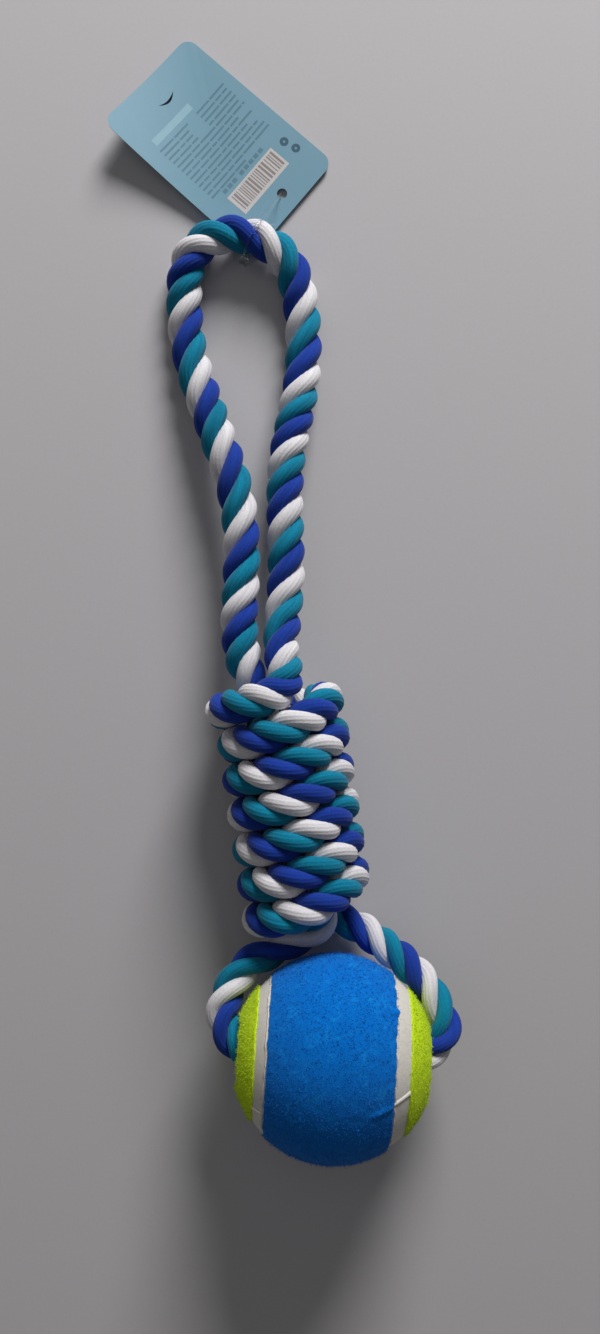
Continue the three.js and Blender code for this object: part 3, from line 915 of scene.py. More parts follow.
@dataclass
class Rope:
    """The toy's one length of three-strand rope, from its upper cut end inside the grip to its lower one."""

    winding: Winding = field(default_factory=Winding)
    step: float = 0.9 * MM
    lay: float = 24.5 * MM
    strand_share: float = 0.475
    yarns: int = 14
    sides_per_yarn: int = 4
    yarn_depth: float = 0.13 * MM
    yarn_lay: float = 30 * MM
    table_ease: float = 0.5 * MM
    blend_length: float = 7 * MM
    ease_length: float = 6 * MM
    first_side: Point = (0.0, 1.0, 0.3)
    grip_diameter: float = 9.2 * MM
    hand_diameter: float = 12.2 * MM
    lower_diameter: float = 11 * MM
    ball_diameter: float = 10.4 * MM
    upper_end_route: tuple[Point, ...] = (
        (-0.0026, -0.018, 0.01978), (-0.0045, 0.026, 0.01978), (-0.005, 0.035, 0.01978),
        (-0.0065, 0.041, 0.0198), (-0.00805, 0.0452, 0.0199),
    )
    hand_route: tuple[Point, ...] = (
        (-0.0082, 0.0456, 0.0199), (-0.01, 0.051, 0.02), (-0.0104, 0.062, 0.0193), (-0.0089, 0.074, 0.018),
        (-0.0074, 0.086, 0.0166), (-0.007, 0.0985, 0.0152), (-0.0083, 0.111, 0.0138),
        (-0.0115, 0.124, 0.0118), (-0.0146, 0.1365, 0.0095), (-0.0173, 0.1475, 0.0072),
        (-0.0188, 0.158, 0.0054), (-0.0189, 0.168, 0.0049), (-0.0179, 0.1785, 0.0056),
        (-0.0149, 0.1863, 0.0072), (-0.009, 0.1908, 0.008), (-0.0008, 0.192, 0.0081),
        (0.0064, 0.1901, 0.0081), (0.0124, 0.1864, 0.008), (0.0169, 0.1808, 0.007), (0.019, 0.174, 0.0054),
        (0.0198, 0.1655, 0.0049), (0.0196, 0.1565, 0.0054), (0.0186, 0.1475, 0.007),
        (0.0168, 0.1385, 0.009), (0.0142, 0.1295, 0.011), (0.0105, 0.117, 0.0133), (0.0083, 0.104, 0.015),
        (0.0073, 0.091, 0.0166), (0.0063, 0.0785, 0.018), (0.0049, 0.0695, 0.0192), (0.004, 0.064, 0.021),
        (0.0034, 0.0606, 0.023),
    )
    lower_right_route: tuple[Point, ...] = (
        (0.01486, -0.03751, 0.00751), (0.0174, -0.0385, 0.0085), (0.0217, -0.0415, 0.0107),
        (0.0257, -0.0449, 0.0127), (0.0298, -0.0483, 0.0146), (0.0336, -0.0521, 0.0164),
        (0.037, -0.0562, 0.0181), (0.0396, -0.0608, 0.0199), (0.0407, -0.0631, 0.0208),
        (0.04139, -0.06463, 0.02141), (0.04165, -0.06536, 0.02174),
    )
    ball_route: tuple[Point, ...] = (
        (0.04175, -0.06564, 0.02186), (0.04201, -0.06637, 0.02219), (0.0424, -0.0678, 0.0229),
        (0.0426, -0.07, 0.024), (0.0421, -0.072, 0.0252), (0.0409, -0.0738, 0.0263),
        (0.0391, -0.0752, 0.0272), (0.0368, -0.0763, 0.0279), (0.0317, -0.078, 0.0291),
        (0.0262, -0.0791, 0.03), (0.0177, -0.0797, 0.031), (0.0091, -0.0793, 0.0315),
        (0.0005, -0.0782, 0.0322), (-0.0079, -0.0763, 0.0322), (-0.0158, -0.0732, 0.0317),
        (-0.0206, -0.0703, 0.031), (-0.0244, -0.0667, 0.0299), (-0.0258, -0.0645, 0.0292),
        (-0.0267, -0.0622, 0.0284), (-0.0273, -0.0598, 0.0277), (-0.0273, -0.05832, 0.02713),
        (-0.02713, -0.05755, 0.02685),
    )
    lower_left_route: tuple[Point, ...] = (
        (-0.02707, -0.05725, 0.02675), (-0.0269, -0.05648, 0.02647), (-0.0263, -0.0551, 0.026),
        (-0.0237, -0.0506, 0.0244), (-0.0202, -0.0468, 0.0229), (-0.0157, -0.0439, 0.0214),
        (-0.0104, -0.0422, 0.0199), (-0.0034, -0.0395, 0.0196), (0.002, -0.0376, 0.0197),
        (0.0056, -0.0352, 0.0198), (0.0072, -0.033, 0.0198), (0.0075, -0.0315, 0.01978),
        (0.00751, -0.0304, 0.01978),
    )
    lower_end_route: tuple[Point, ...] = (
        (0.00751, -0.0301, 0.01978), (0.0075, -0.0288, 0.01978), (0.0071, -0.02, 0.01978),
        (0.0051, 0.026, 0.01978),
    )
    hand_whites: tuple[float, ...] = (
        0.0034, 0.0248, 0.0495, 0.0759, 0.0993, 0.1262, 0.1495, 0.1747, 0.1992, 0.2258, 0.248, 0.2707, 0.2943,
    )
    lower_right_whites: tuple[float, ...] = (0.0121, 0.0353)
    ball_whites: tuple[float, ...] = (0.0225,)
    lower_left_whites: tuple[float, ...] = (0.0055, 0.0345)

    def runs(self) -> list[Run]:
        """Lists the rope's runs in the order that the rope goes."""
        line = Curves.catmull
        upper_end = Stretch("inner_rope_upper", line(self.upper_end_route), self.grip_diameter)
        hand = Stretch("handle_loop", line(self.hand_route), self.hand_diameter, self.hand_whites)
        right = Stretch(
            "lower_loop_right", line(self.lower_right_route), self.lower_diameter, self.lower_right_whites
        )
        through = Stretch("rope_through_ball", line(self.ball_route), self.ball_diameter, self.ball_whites)
        left = Stretch(
            "lower_loop_left", line(self.lower_left_route), self.lower_diameter, self.lower_left_whites
        )
        lower_end = Stretch("inner_rope_lower", line(self.lower_end_route), self.grip_diameter)
        return [
            Run("upper_end", (upper_end,)),
            Run("hand_loop", (hand,), self.hand_diameter),
            Run("grip_winding", (self.winding.stretch(),)),
            Run("lower_loop", (right, through, left), self.lower_diameter),
            Run("lower_end", (lower_end,)),
        ]

    def carried_frames(self, line: np.ndarray) -> tuple[np.ndarray, np.ndarray, np.ndarray]:
        """Carries a pair of side directions along a line without twist.

        Args:
            line: The centreline.

        Returns:
            The headings and the two side directions.
        """
        headings = Curves.headings(line)
        side = np.cross(headings[0], self.first_side)
        sides = []
        for heading in headings:
            side = side - heading * float(side @ heading)
            side = side / np.linalg.norm(side)
            sides.append(side)
        rows = np.array(sides)
        return headings, rows, np.cross(headings, rows)

    def smoothed(self, line: np.ndarray) -> np.ndarray:
        """Eases the small kinks where one stretch's line meets the next.

        Args:
            line: The whole rope's places.

        Returns:
            The eased places, with the same ends.
        """
        width = int(round(self.ease_length / self.step / 2))
        before = 2 * line[0] - line[width:0:-1]
        after = 2 * line[-1] - line[-2 : -width - 2 : -1]
        padded = np.vstack([before, line, after])
        window = np.hanning(2 * width + 3)[1:-1]
        window /= window.sum()
        return np.stack([np.convolve(padded[:, axis], window, mode="valid") for axis in range(3)], axis=1)

    def twist(
        self, line: np.ndarray, distances: np.ndarray, marks: list[tuple[float, bool]]
    ) -> tuple[np.ndarray, np.ndarray, np.ndarray, np.ndarray]:
        """Works out the white strand's angle about the centreline from the places where it faces outwards.

        Args:
            line: The whole rope's centreline.
            distances: The distance of each of its places.
            marks: Distance of each such place, and whether the rope is wound there.

        Returns:
            The headings, the two side directions and the angle at each place.
        """
        headings, sides, others = self.carried_frames(line)
        angles: list[float] = []
        for number, (distance, wound) in enumerate(marks):
            index = int(np.argmin(np.abs(distances - distance)))
            place = line[index]
            if wound:
                axis = self.winding.axis_x(place[1])
                out = np.array([place[0] - axis, 0.0, place[2] - self.winding.height])
            else:
                out = np.array(View.place) - place
            angle = math.atan2(float(out @ others[index]), float(out @ sides[index]))
            if number:
                turns = max(round((distance - marks[number - 1][0]) / self.lay), 1)
                wanted = angles[-1] + 2 * math.pi * turns
                angle += 2 * math.pi * round((wanted - angle) / (2 * math.pi))
            angles.append(angle)
        known = np.array([distance for distance, _ in marks])
        return headings, sides, others, Curves.eased(distances, known, np.array(angles))

    def strand_mesh(
        self, name: str, centre: np.ndarray, out: np.ndarray, side: np.ndarray, radius: np.ndarray,
        along: np.ndarray,
    ) -> bpy.types.Object:
        """Builds one strand as a closed tube with a shallow ridge for each yarn.

        Args:
            name: The piece's name.
            centre: The strand's own centreline.
            out: The direction away from the rope's middle at each place.
            side: The direction across it, square to the strand.
            radius: The strand's radius at each place.
            along: The distance along the strand, so that its yarns run on from run to run.

        Returns:
            The strand, with a UV map of millimetres along and yarns across.
        """
        count = self.yarns * self.sides_per_yarn
        ring = np.arange(count)
        ridge = np.abs(np.sin(np.pi * ring / self.sides_per_yarn))
        angles = 2 * np.pi * ring[None, :] / count - 2 * np.pi * along[:, None] / self.yarn_lay
        reach = radius[:, None] - self.yarn_depth * (1 - ridge[None, :])
        vertices = (
            centre[:, None, :]
            + out[:, None, :] * (np.cos(angles) * reach)[:, :, None]
            + side[:, None, :] * (np.sin(angles) * reach)[:, :, None]
        )
        height = vertices[:, :, 2]
        vertices[:, :, 2] = 0.5 * (height + np.sqrt(height**2 + self.table_ease**2))
        rings = len(centre)
        flat = vertices.reshape(-1, 3)
        ends = np.array([vertices[0].mean(axis=0), vertices[-1].mean(axis=0)])
        base = np.arange(rings - 1)[:, None] * count
        here = ring[None, :]
        after = (ring[None, :] + 1) % count
        corners = [base + here, base + after, base + count + after, base + count + here]
        quads = np.stack(corners, axis=-1).reshape(-1, 4)
        first, last = rings * count, rings * count + 1
        caps = [[first, int(b), int(a)] for a, b in zip(ring, (ring + 1) % count)]
        offset = (rings - 1) * count
        caps += [[last, int(offset + a), int(offset + b)] for a, b in zip(ring, (ring + 1) % count)]
        piece = mesh_piece(name, np.vstack([flat, ends]), quads.tolist() + caps)
        pairs = np.empty(len(piece.data.edges) * 2, dtype=np.int32)
        piece.data.edges.foreach_get("vertices", pairs)
        low, high = pairs.reshape(-1, 2).min(axis=1), pairs.reshape(-1, 2).max(axis=1)
        sharp = (high < count) | ((low >= offset) & (high < first))
        piece.data.edges.foreach_set("use_edge_sharp", sharp)
        yarn = ring / self.sides_per_yarn
        coordinates = np.zeros((len(quads) * 4 + len(caps) * 3, 2))
        grid = coordinates[: len(quads) * 4].reshape(rings - 1, count, 4, 2)
        grid[:, :, (0, 1), 0] = (along[:-1] / MM)[:, None, None]
        grid[:, :, (2, 3), 0] = (along[1:] / MM)[:, None, None]
        grid[:, :, (0, 3), 1] = yarn[None, :, None]
        grid[:, :, (1, 2), 1] = (yarn + 1 / self.sides_per_yarn)[None, :, None]
        layer = piece.data.uv_layers.new(name="along")
        layer.data.foreach_set("uv", coordinates.ravel())
        return piece

    def make(self, finishes: Finishes) -> None:
        """Args:
            finishes: The toy's finishes.
        """
        runs = self.runs()
        stretches = [stretch for run in runs for stretch in run.stretches]
        lines = [Curves.respaced(stretch.line, self.step) for stretch in stretches]
        line = self.smoothed(np.vstack(lines))
        distances = Curves.along(line)
        starts = np.cumsum([0] + [len(part) for part in lines])
        marks = []
        for stretch, start in zip(stretches, starts):
            marks += [(distances[start] + white, stretch.wound) for white in stretch.whites]
        _, sides, others, angle = self.twist(line, distances, marks)
        diameter = np.concatenate([np.full(len(part), s.diameter) for part, s in zip(lines, stretches)])
        width = int(round(self.blend_length / self.step))
        padded = np.pad(diameter, width, mode="edge")
        diameter = np.convolve(padded, np.ones(2 * width + 1) / (2 * width + 1), mode="valid")
        radius = diameter / 2 * self.strand_share
        offset = diameter / 2 - radius
        first = 0
        for run in runs:
            last = first + len(run.stretches)
            part = slice(starts[first], min(starts[last] + 1, len(line)))
            nodes = [stretch.node for stretch in run.stretches]
            for strand in Strand:
                turned = angle - 2 * math.pi * strand.value / 3
                out = np.cos(turned)[:, None] * sides + np.sin(turned)[:, None] * others
                centre = line + out * offset[:, None]
                along = Curves.along(centre)
                headings = Curves.headings(centre)
                out = Curves.unit(out - headings * np.sum(out * headings, axis=1, keepdims=True))
                side = np.cross(headings, out)
                name = f"{run.name}_strand_{strand.name.lower()}"
                piece = self.strand_mesh(name, centre[part], out[part], side[part], radius[part], along[part])
                give(piece, "rope", finishes.strands[strand], *nodes)
            if run.free_diameter:
                path = line[part]
                float(Curves.along(path)[-1])
            first = last


@dataclass
class EndTapes:
    """The tape bound round the rope's two cut ends inside the grip."""

    layers: int = 4
    layer_lean: float = 0.12
    edge: float = 0.35 * MM
    sides: int = 64

    def make(self, finishes: Finishes) -> None:
        """Builds both tapes, each a bound cylinder with stepped layers.

        Args:
            finishes: The toy's finishes.
        """
        for node in ("end_tape_upper", "end_tape_lower"):
            low, high = (Vector(corner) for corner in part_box(node))
            size = high - low
            tape = Bench.start(
                f"{node}_binding", bpy.ops.mesh.primitive_cylinder_add, vertices=self.sides,
                radius=min(size.x, size.z) / 2, depth=size.y, location=(low + high) / 2,
                rotation=(math.pi / 2, 0, 0),
            )
            for layer in range(1, self.layers):
                place = Vector((0, low.y + size.y * layer / self.layers, 0))
                Bench.score(tape, place, Vector((0, 1, self.layer_lean)))
            Bench.apply(tape, "BEVEL", width=self.edge, segments=3, limit_method="ANGLE")
            Bench.apply(tape, "SUBSURF", levels=1, render_levels=1)
            Bench.shade(tape)
            give(tape, "rope", finishes.tape, node)


@dataclass(frozen=True)
class FibreCoat:
    """The short curled fibres on a felt panel.

    A fibre is a closed three-sided spike in two parts, whose reach and rise are shares of its own length.

    Attributes:
        length: A fibre's middling length.
        uneven: The least and greatest share of that length.
        thickness: The least and greatest radius at the root.
        waist: The share of that radius that is left halfway.
        root_depth: How deep the root is set in the felt.
        first_reach: How far the first part goes along the felt.
        first_rise: The least and greatest rise of the first part.
        second_reach: How far the second part goes along the felt.
        second_rise: The least and greatest rise of the second part.
        forward: How much of the first part's direction the second one keeps.
        swerve: How far the second part turns aside at most.
        outer_share: The share of the felt's thickness that counts as its outside and edges.
    """

    length: float = 1.3 * MM
    uneven: tuple[float, float] = (0.6, 1.35)
    thickness: tuple[float, float] = (0.045 * MM, 0.075 * MM)
    waist: float = 0.8
    root_depth: float = 0.12 * MM
    first_reach: float = 0.42
    first_rise: tuple[float, float] = (0.16, 0.52)
    second_reach: float = 0.5
    second_rise: tuple[float, float] = (-0.05, 0.28)
    forward: float = math.cos(0.9)
    swerve: float = 0.8
    outer_share: float = 0.8

    def grow(
        self, name: str, panel: bpy.types.Object, centre: Vector, least: float, count: int
    ) -> bpy.types.Object:
        """Grows the fibres.

        Args:
            name: The piece's name.
            panel: The felt that they grow on.
            centre: The ball's centre.
            least: How far from the centre a face must be to carry fibres.
            count: How many fibres there are, which also seeds their places.

        Returns:
            The fibres as one mesh.
        """
        dice = random.Random(count)
        faces = [(face.center.copy(), face.normal.copy(), face.area) for face in panel.data.polygons]
        faces.sort(key=lambda face: tuple(face[0]))
        weights = np.cumsum([area * ((place - centre).length >= least) for place, _, area in faces])
        vertices: list[Vector] = []
        shapes: list[list[int]] = []
        for _ in range(count):
            place, normal, area = faces[int(np.searchsorted(weights, dice.random() * weights[-1]))]
            across = normal.orthogonal().normalized()
            other = normal.cross(across)
            spread = math.sqrt(area)
            root = place + across * dice.uniform(-spread, spread) / 2
            root += other * dice.uniform(-spread, spread) / 2 - normal * self.root_depth
            turn = dice.uniform(0, 2 * math.pi)
            lie = across * math.cos(turn) + other * math.sin(turn)
            length = self.length * dice.uniform(*self.uneven)
            middle = root + (lie * self.first_reach + normal * dice.uniform(*self.first_rise)) * length
            bend = lie * self.forward + normal.cross(lie) * dice.uniform(-self.swerve, self.swerve)
            tip = middle + (bend * self.second_reach + normal * dice.uniform(*self.second_rise)) * length
            thick = dice.uniform(*self.thickness)
            base = len(vertices)
            for heart, size in ((root, thick), (middle, thick * self.waist)):
                for corner in range(3):
                    angle = 2 * math.pi * corner / 3
                    vertices.append(heart + (across * math.cos(angle) + other * math.sin(angle)) * size)
            vertices.append(tip)
            shapes.append([base + 2, base + 1, base])
            for corner in range(3):
                after = (corner + 1) % 3
                shapes.append([base + corner, base + after, base + 3 + after, base + 3 + corner])
                shapes.append([base + 3 + corner, base + 3 + after, base + 6])
        return mesh_piece(name, np.array([tuple(vertex) for vertex in vertices]), shapes)


@dataclass
class FeltBall:
    """The hollow rubber ball with its felt band and caps, which turns on the rope.

    Places are given along the bore, level towards the grip, and up, from the ball's centre.
    """

    centre: Vector = field(default_factory=lambda: Vector((6.1 * MM, -74 * MM, 31.5 * MM)))
    bore_turn: float = math.radians(-9)
    radius: float = 31.5 * MM
    felt: float = 0.9 * MM
    rubber_radius: float = 31.05 * MM
    rubber_wall: float = 5 * MM
    hole_radius: float = 8.5 * MM
    mouth: float = 2.5 * MM
    band_left: float = -20.4 * MM
    band_right: float = 17.5 * MM
    cap_left: float = -24.2 * MM
    cap_right: float = 22.6 * MM
    felt_edge: float = 0.36 * MM
    felt_relief: float = 0.08 * MM
    felt_grain: float = 2.6 * MM
    felt_fractal: tuple[float, float, int] = (1.0, 2.0, 3)
    edge_wander: float = 0.35 * MM
    edge_reach: float = 1.6 * MM
    edge_grain: float = 2.2 * MM
    join_normal: Point = (-0.215, 0.92, 0.33)
    join_gap: float = 0.05 * MM
    join_ridge: float = 0.75 * MM
    join_sunk: float = 0.25 * MM
    join_under_felt: float = 0.5 * MM
    join_under_cap: float = 1 * MM
    join_waver: float = 0.12 * MM
    join_grain: float = 5 * MM
    swell_start: float = 8 * MM
    swell_fade: float = 5 * MM
    swell_rise: float = 0.62 * MM
    swell_reach: float = 0.75 * MM
    bead_radius: float = 0.3 * MM
    bead_grain: float = 3.1 * MM
    tuft: Point = (17.2 * MM, 19.6 * MM, 17.2 * MM)
    tuft_rise: float = 0.7 * MM
    tuft_reach: float = 1.3 * MM
    segments: int = 256
    rings: int = 128
    ridge_steps: tuple[int, int] = (220, 10)
    bead_steps: tuple[int, int] = (240, 8)
    coat: FibreCoat = FibreCoat()
    band_fibres: int = 11000
    cap_fibres: int = 3800

    @property
    def bore(self) -> Vector:
        """The direction of the rope hole, to the right."""
        return Vector((math.cos(self.bore_turn), math.sin(self.bore_turn), 0))

    @property
    def join(self) -> Vector:
        """The direction square to the join of the rubber's halves, towards the grip."""
        return self.turned(self.join_normal).normalized()

    def turned(self, way: Point) -> Vector:
        """Turns lengths along the bore, towards the grip and up into a vector of the frame."""
        along, forward, up = way
        towards_grip = Vector((-math.sin(self.bore_turn), math.cos(self.bore_turn), 0))
        return self.bore * along + towards_grip * forward + Vector((0, 0, up))

    def mouth_place(self, radius: float, margin: float) -> float:
        """Gives how far along the bore a sphere of a radius is open, a margin outside the hole."""
        return math.sqrt(radius**2 - (self.hole_radius + margin) ** 2)

    def sphere(self, name: str, radius: float) -> bpy.types.Object:
        """Adds a fine sphere whose poles are on the bore.

        Args:
            name: The piece's name.
            radius: Its radius.

        Returns:
            The sphere.
        """
        ball = Bench.start(
            name, bpy.ops.mesh.primitive_uv_sphere_add, segments=self.segments, ring_count=self.rings,
            radius=radius, location=self.centre, rotation=(0, math.pi / 2, self.bore_turn),
        )
        self.put_in_order(ball)
        return ball

    def put_in_order(self, ball: bpy.types.Object) -> None:
        """Numbers a new sphere's corners, edges and faces by their places.

        Blender numbers them differently from run to run, and the felt built on them has to come out the same.

        Args:
            ball: The sphere.
        """
        bore, across = self.bore, self.turned((0.0, 1.0, 0.0))

        def number(place: Vector) -> int:
            """Counts the half steps round the bore and from its right end to a place."""
            local = place - self.centre
            side = local.dot(across)
            ring = round(math.atan2(math.hypot(side, local.z), local.dot(bore)) / math.pi * self.rings * 2)
            sector = round(math.atan2(local.z, side) / math.pi * self.segments) % (2 * self.segments)
            return ring * 2 * self.segments + sector

        grid = bmesh.new()
        grid.from_mesh(ball.data)
        grid.verts.sort(key=lambda corner: number(corner.co))
        grid.edges.sort(key=lambda edge: number((edge.verts[0].co + edge.verts[1].co) / 2))
        grid.faces.sort(key=lambda face: number(face.calc_center_median()))
        grid.to_mesh(ball.data)
        grid.free()

    def felt_shell(self, name: str, near: float, far: float, seed: float) -> bpy.types.Object:
        """Makes a felt panel between two places along the bore.

        Args:
            name: The piece's name.
            near: Where it starts along the bore.
            far: Where it ends.
            seed: Shifts the noise that roughens it.

        Returns:
            The panel.
        """
        shell = self.sphere(name, self.radius)
        Bench.trim(shell, self.bore, self.centre + self.bore * near, self.centre + self.bore * far)
        for vertex in shell.data.vertices:
            local = vertex.co - self.centre
            along = local.dot(self.bore)
            edge = min(along - near, far - along)
            wander = noise.noise(local / self.edge_grain + Vector((seed, 0, 0))) * self.edge_wander
            wander *= max(0.0, 1 - edge / self.edge_reach)
            relief = noise.fractal(local / self.felt_grain + Vector((0, seed, 0)), *self.felt_fractal)
            tuft = self.tuft_swell(local)
            relief = relief * self.felt_relief + self.join_swell(local) + tuft
            vertex.co += self.bore * (wander + tuft) + local.normalized() * relief
        Bench.apply(shell, "SOLIDIFY", thickness=self.felt, offset=-1.0, use_even_offset=False)
        Bench.apply(
            shell, "BEVEL", width=self.felt_edge, segments=4, limit_method="ANGLE",
            angle_limit=math.radians(50),
        )
        Bench.shade(shell, 60)
        return shell

    def tuft_swell(self, local: Vector) -> float:
        """Gives the rise of a loose tuft of felt at the band's right edge, at a place from the centre."""
        away = (local - self.turned(self.tuft)).length
        return self.tuft_rise * math.exp(-((away / self.tuft_reach) ** 2))

    def join_swell(self, local: Vector) -> float:
        """Gives how far the felt is pushed up over the rubber's ridge, near the band's right edge.

        Args:
            local: A place from the ball's centre.

        Returns:
            The rise in metres.
        """
        along = local.dot(self.bore)
        if local.z < 0 or along < self.swell_start or along > self.band_right:
            return 0.0
        strength = min((along - self.swell_start) / self.swell_fade, 1.0)
        return self.swell_rise * strength * math.exp(-((local.dot(self.join) / self.swell_reach) ** 2))

    def rubber_half(self, name: str, inner: bool) -> bpy.types.Object:
        """Makes one half of the hollow rubber core.

        Args:
            name: The piece's name.
            inner: Whether it is the half towards the grip.

        Returns:
            The half.
        """
        half = self.sphere(name, self.rubber_radius)
        gap = self.join_gap if inner else -self.join_gap
        Bench.score(half, self.centre + self.join * gap, self.join, clear_inner=inner, clear_outer=not inner)
        mouth = self.bore * self.mouth_place(self.rubber_radius, self.mouth / 2)
        Bench.trim(half, self.bore, self.centre - mouth, self.centre + mouth)
        Bench.apply(half, "SOLIDIFY", thickness=self.rubber_wall, offset=-1.0, use_even_offset=False)
        Bench.shade(half)
        return half

    @staticmethod
    def hoop(
        name: str, place: Vector, turn: Sequence[float], radii: tuple[float, float], steps: tuple[int, int]
    ) -> bpy.types.Object:
        """Adds a thin ring round the ball.

        Args:
            name: The piece's name.
            place: Its middle.
            turn: Its rotation.
            radii: Its own radius and the radius of its section.
            steps: How many steps go round it and round its section.

        Returns:
            The ring.
        """
        return Bench.start(
            name, bpy.ops.mesh.primitive_torus_add, major_radius=radii[0], minor_radius=radii[1],
            major_segments=steps[0], minor_segments=steps[1], location=place, rotation=turn,
        )

    def ridge(self) -> bpy.types.Object:
        """Makes the moulding ridge where the rubber's halves join, lower under the felt and ended there."""
        turn = self.join.to_track_quat("Z", "Y").to_euler()
        radii = (self.rubber_radius - self.join_sunk, self.join_ridge)
        ring = self.hoop("rubber_join_ridge", self.centre, turn, radii, self.ridge_steps)
        for vertex in ring.data.vertices:
            local = vertex.co - self.centre
            along = local.dot(self.bore)
            waver = noise.noise(local / self.join_grain) * self.join_waver
            if self.band_left < along < self.band_right or along < self.cap_left or along > self.cap_right:
                waver -= self.join_under_felt
            vertex.co += local.normalized() * waver
        left = self.centre + self.bore * (self.cap_left - self.join_under_cap)
        right = self.centre + self.bore * (self.cap_right + self.join_under_cap)
        Bench.trim(ring, self.bore, left, right, fill=True)
        Bench.shade(ring, 80)
        return ring

    def bead(self, name: str, along: float) -> bpy.types.Object:
        """Makes the thin bead of glue along one edge of the felt band.

        Args:
            name: The piece's name.
            along: The edge's place along the bore.

        Returns:
            The bead.
        """
        turn = (0, math.pi / 2, self.bore_turn)
        radii = (math.sqrt(self.rubber_radius**2 - along**2), self.bead_radius)
        ring = self.hoop(name, self.centre + self.bore * along, turn, radii, self.bead_steps)
        for vertex in ring.data.vertices:
            local = vertex.co - self.centre
            vertex.co += self.bore * noise.noise(local / self.edge_grain) * self.edge_wander
            vertex.co += local.normalized() * noise.noise(local / self.bead_grain) * self.bead_radius
        Bench.shade(ring, 80)
        return ring

    def make(self, finishes: Finishes) -> None:
        """Builds the ball.

        Args:
            finishes: The toy's finishes.
        """
        for half, inner in (("inner", True), ("outer", False)):
            rubber = self.rubber_half(f"ball_rubber_{half}", inner)
            give(rubber, "ball", finishes.rubber, f"rubber_half_{half}")
        give(self.ridge(), "ball", finishes.rubber)
        for side, along in (("left", self.band_left), ("right", self.band_right)):
            outwards = math.copysign(self.bead_radius, along)
            give(self.bead(f"ball_glue_{side}", along + outwards), "ball", finishes.rubber)
        mouth = self.mouth_place(self.radius, self.mouth)
        blue, lime = (finishes.blue_felt, finishes.blue_fuzz), (finishes.lime_felt, finishes.lime_fuzz)
        coats = []
        for node, near, far, seed, (felt, fuzz), fibres in (
            ("felt_band", self.band_left, self.band_right, 0.0, blue, self.band_fibres),
            ("felt_cap_left", -mouth, self.cap_left, 11.0, lime, self.cap_fibres),
            ("felt_cap_right", self.cap_right, mouth, 23.0, lime, self.cap_fibres),
        ):
            panel = self.felt_shell(f"ball_{node}", near, far, seed)
            give(panel, "ball", felt, node)
            coats.append((f"ball_{node}_fuzz", panel, fibres, fuzz))
        least = self.radius - self.felt * self.coat.outer_share
        for name, panel, fibres, fuzz in coats:
            give(self.coat.grow(name, panel, self.centre, least, fibres), "ball", fuzz)


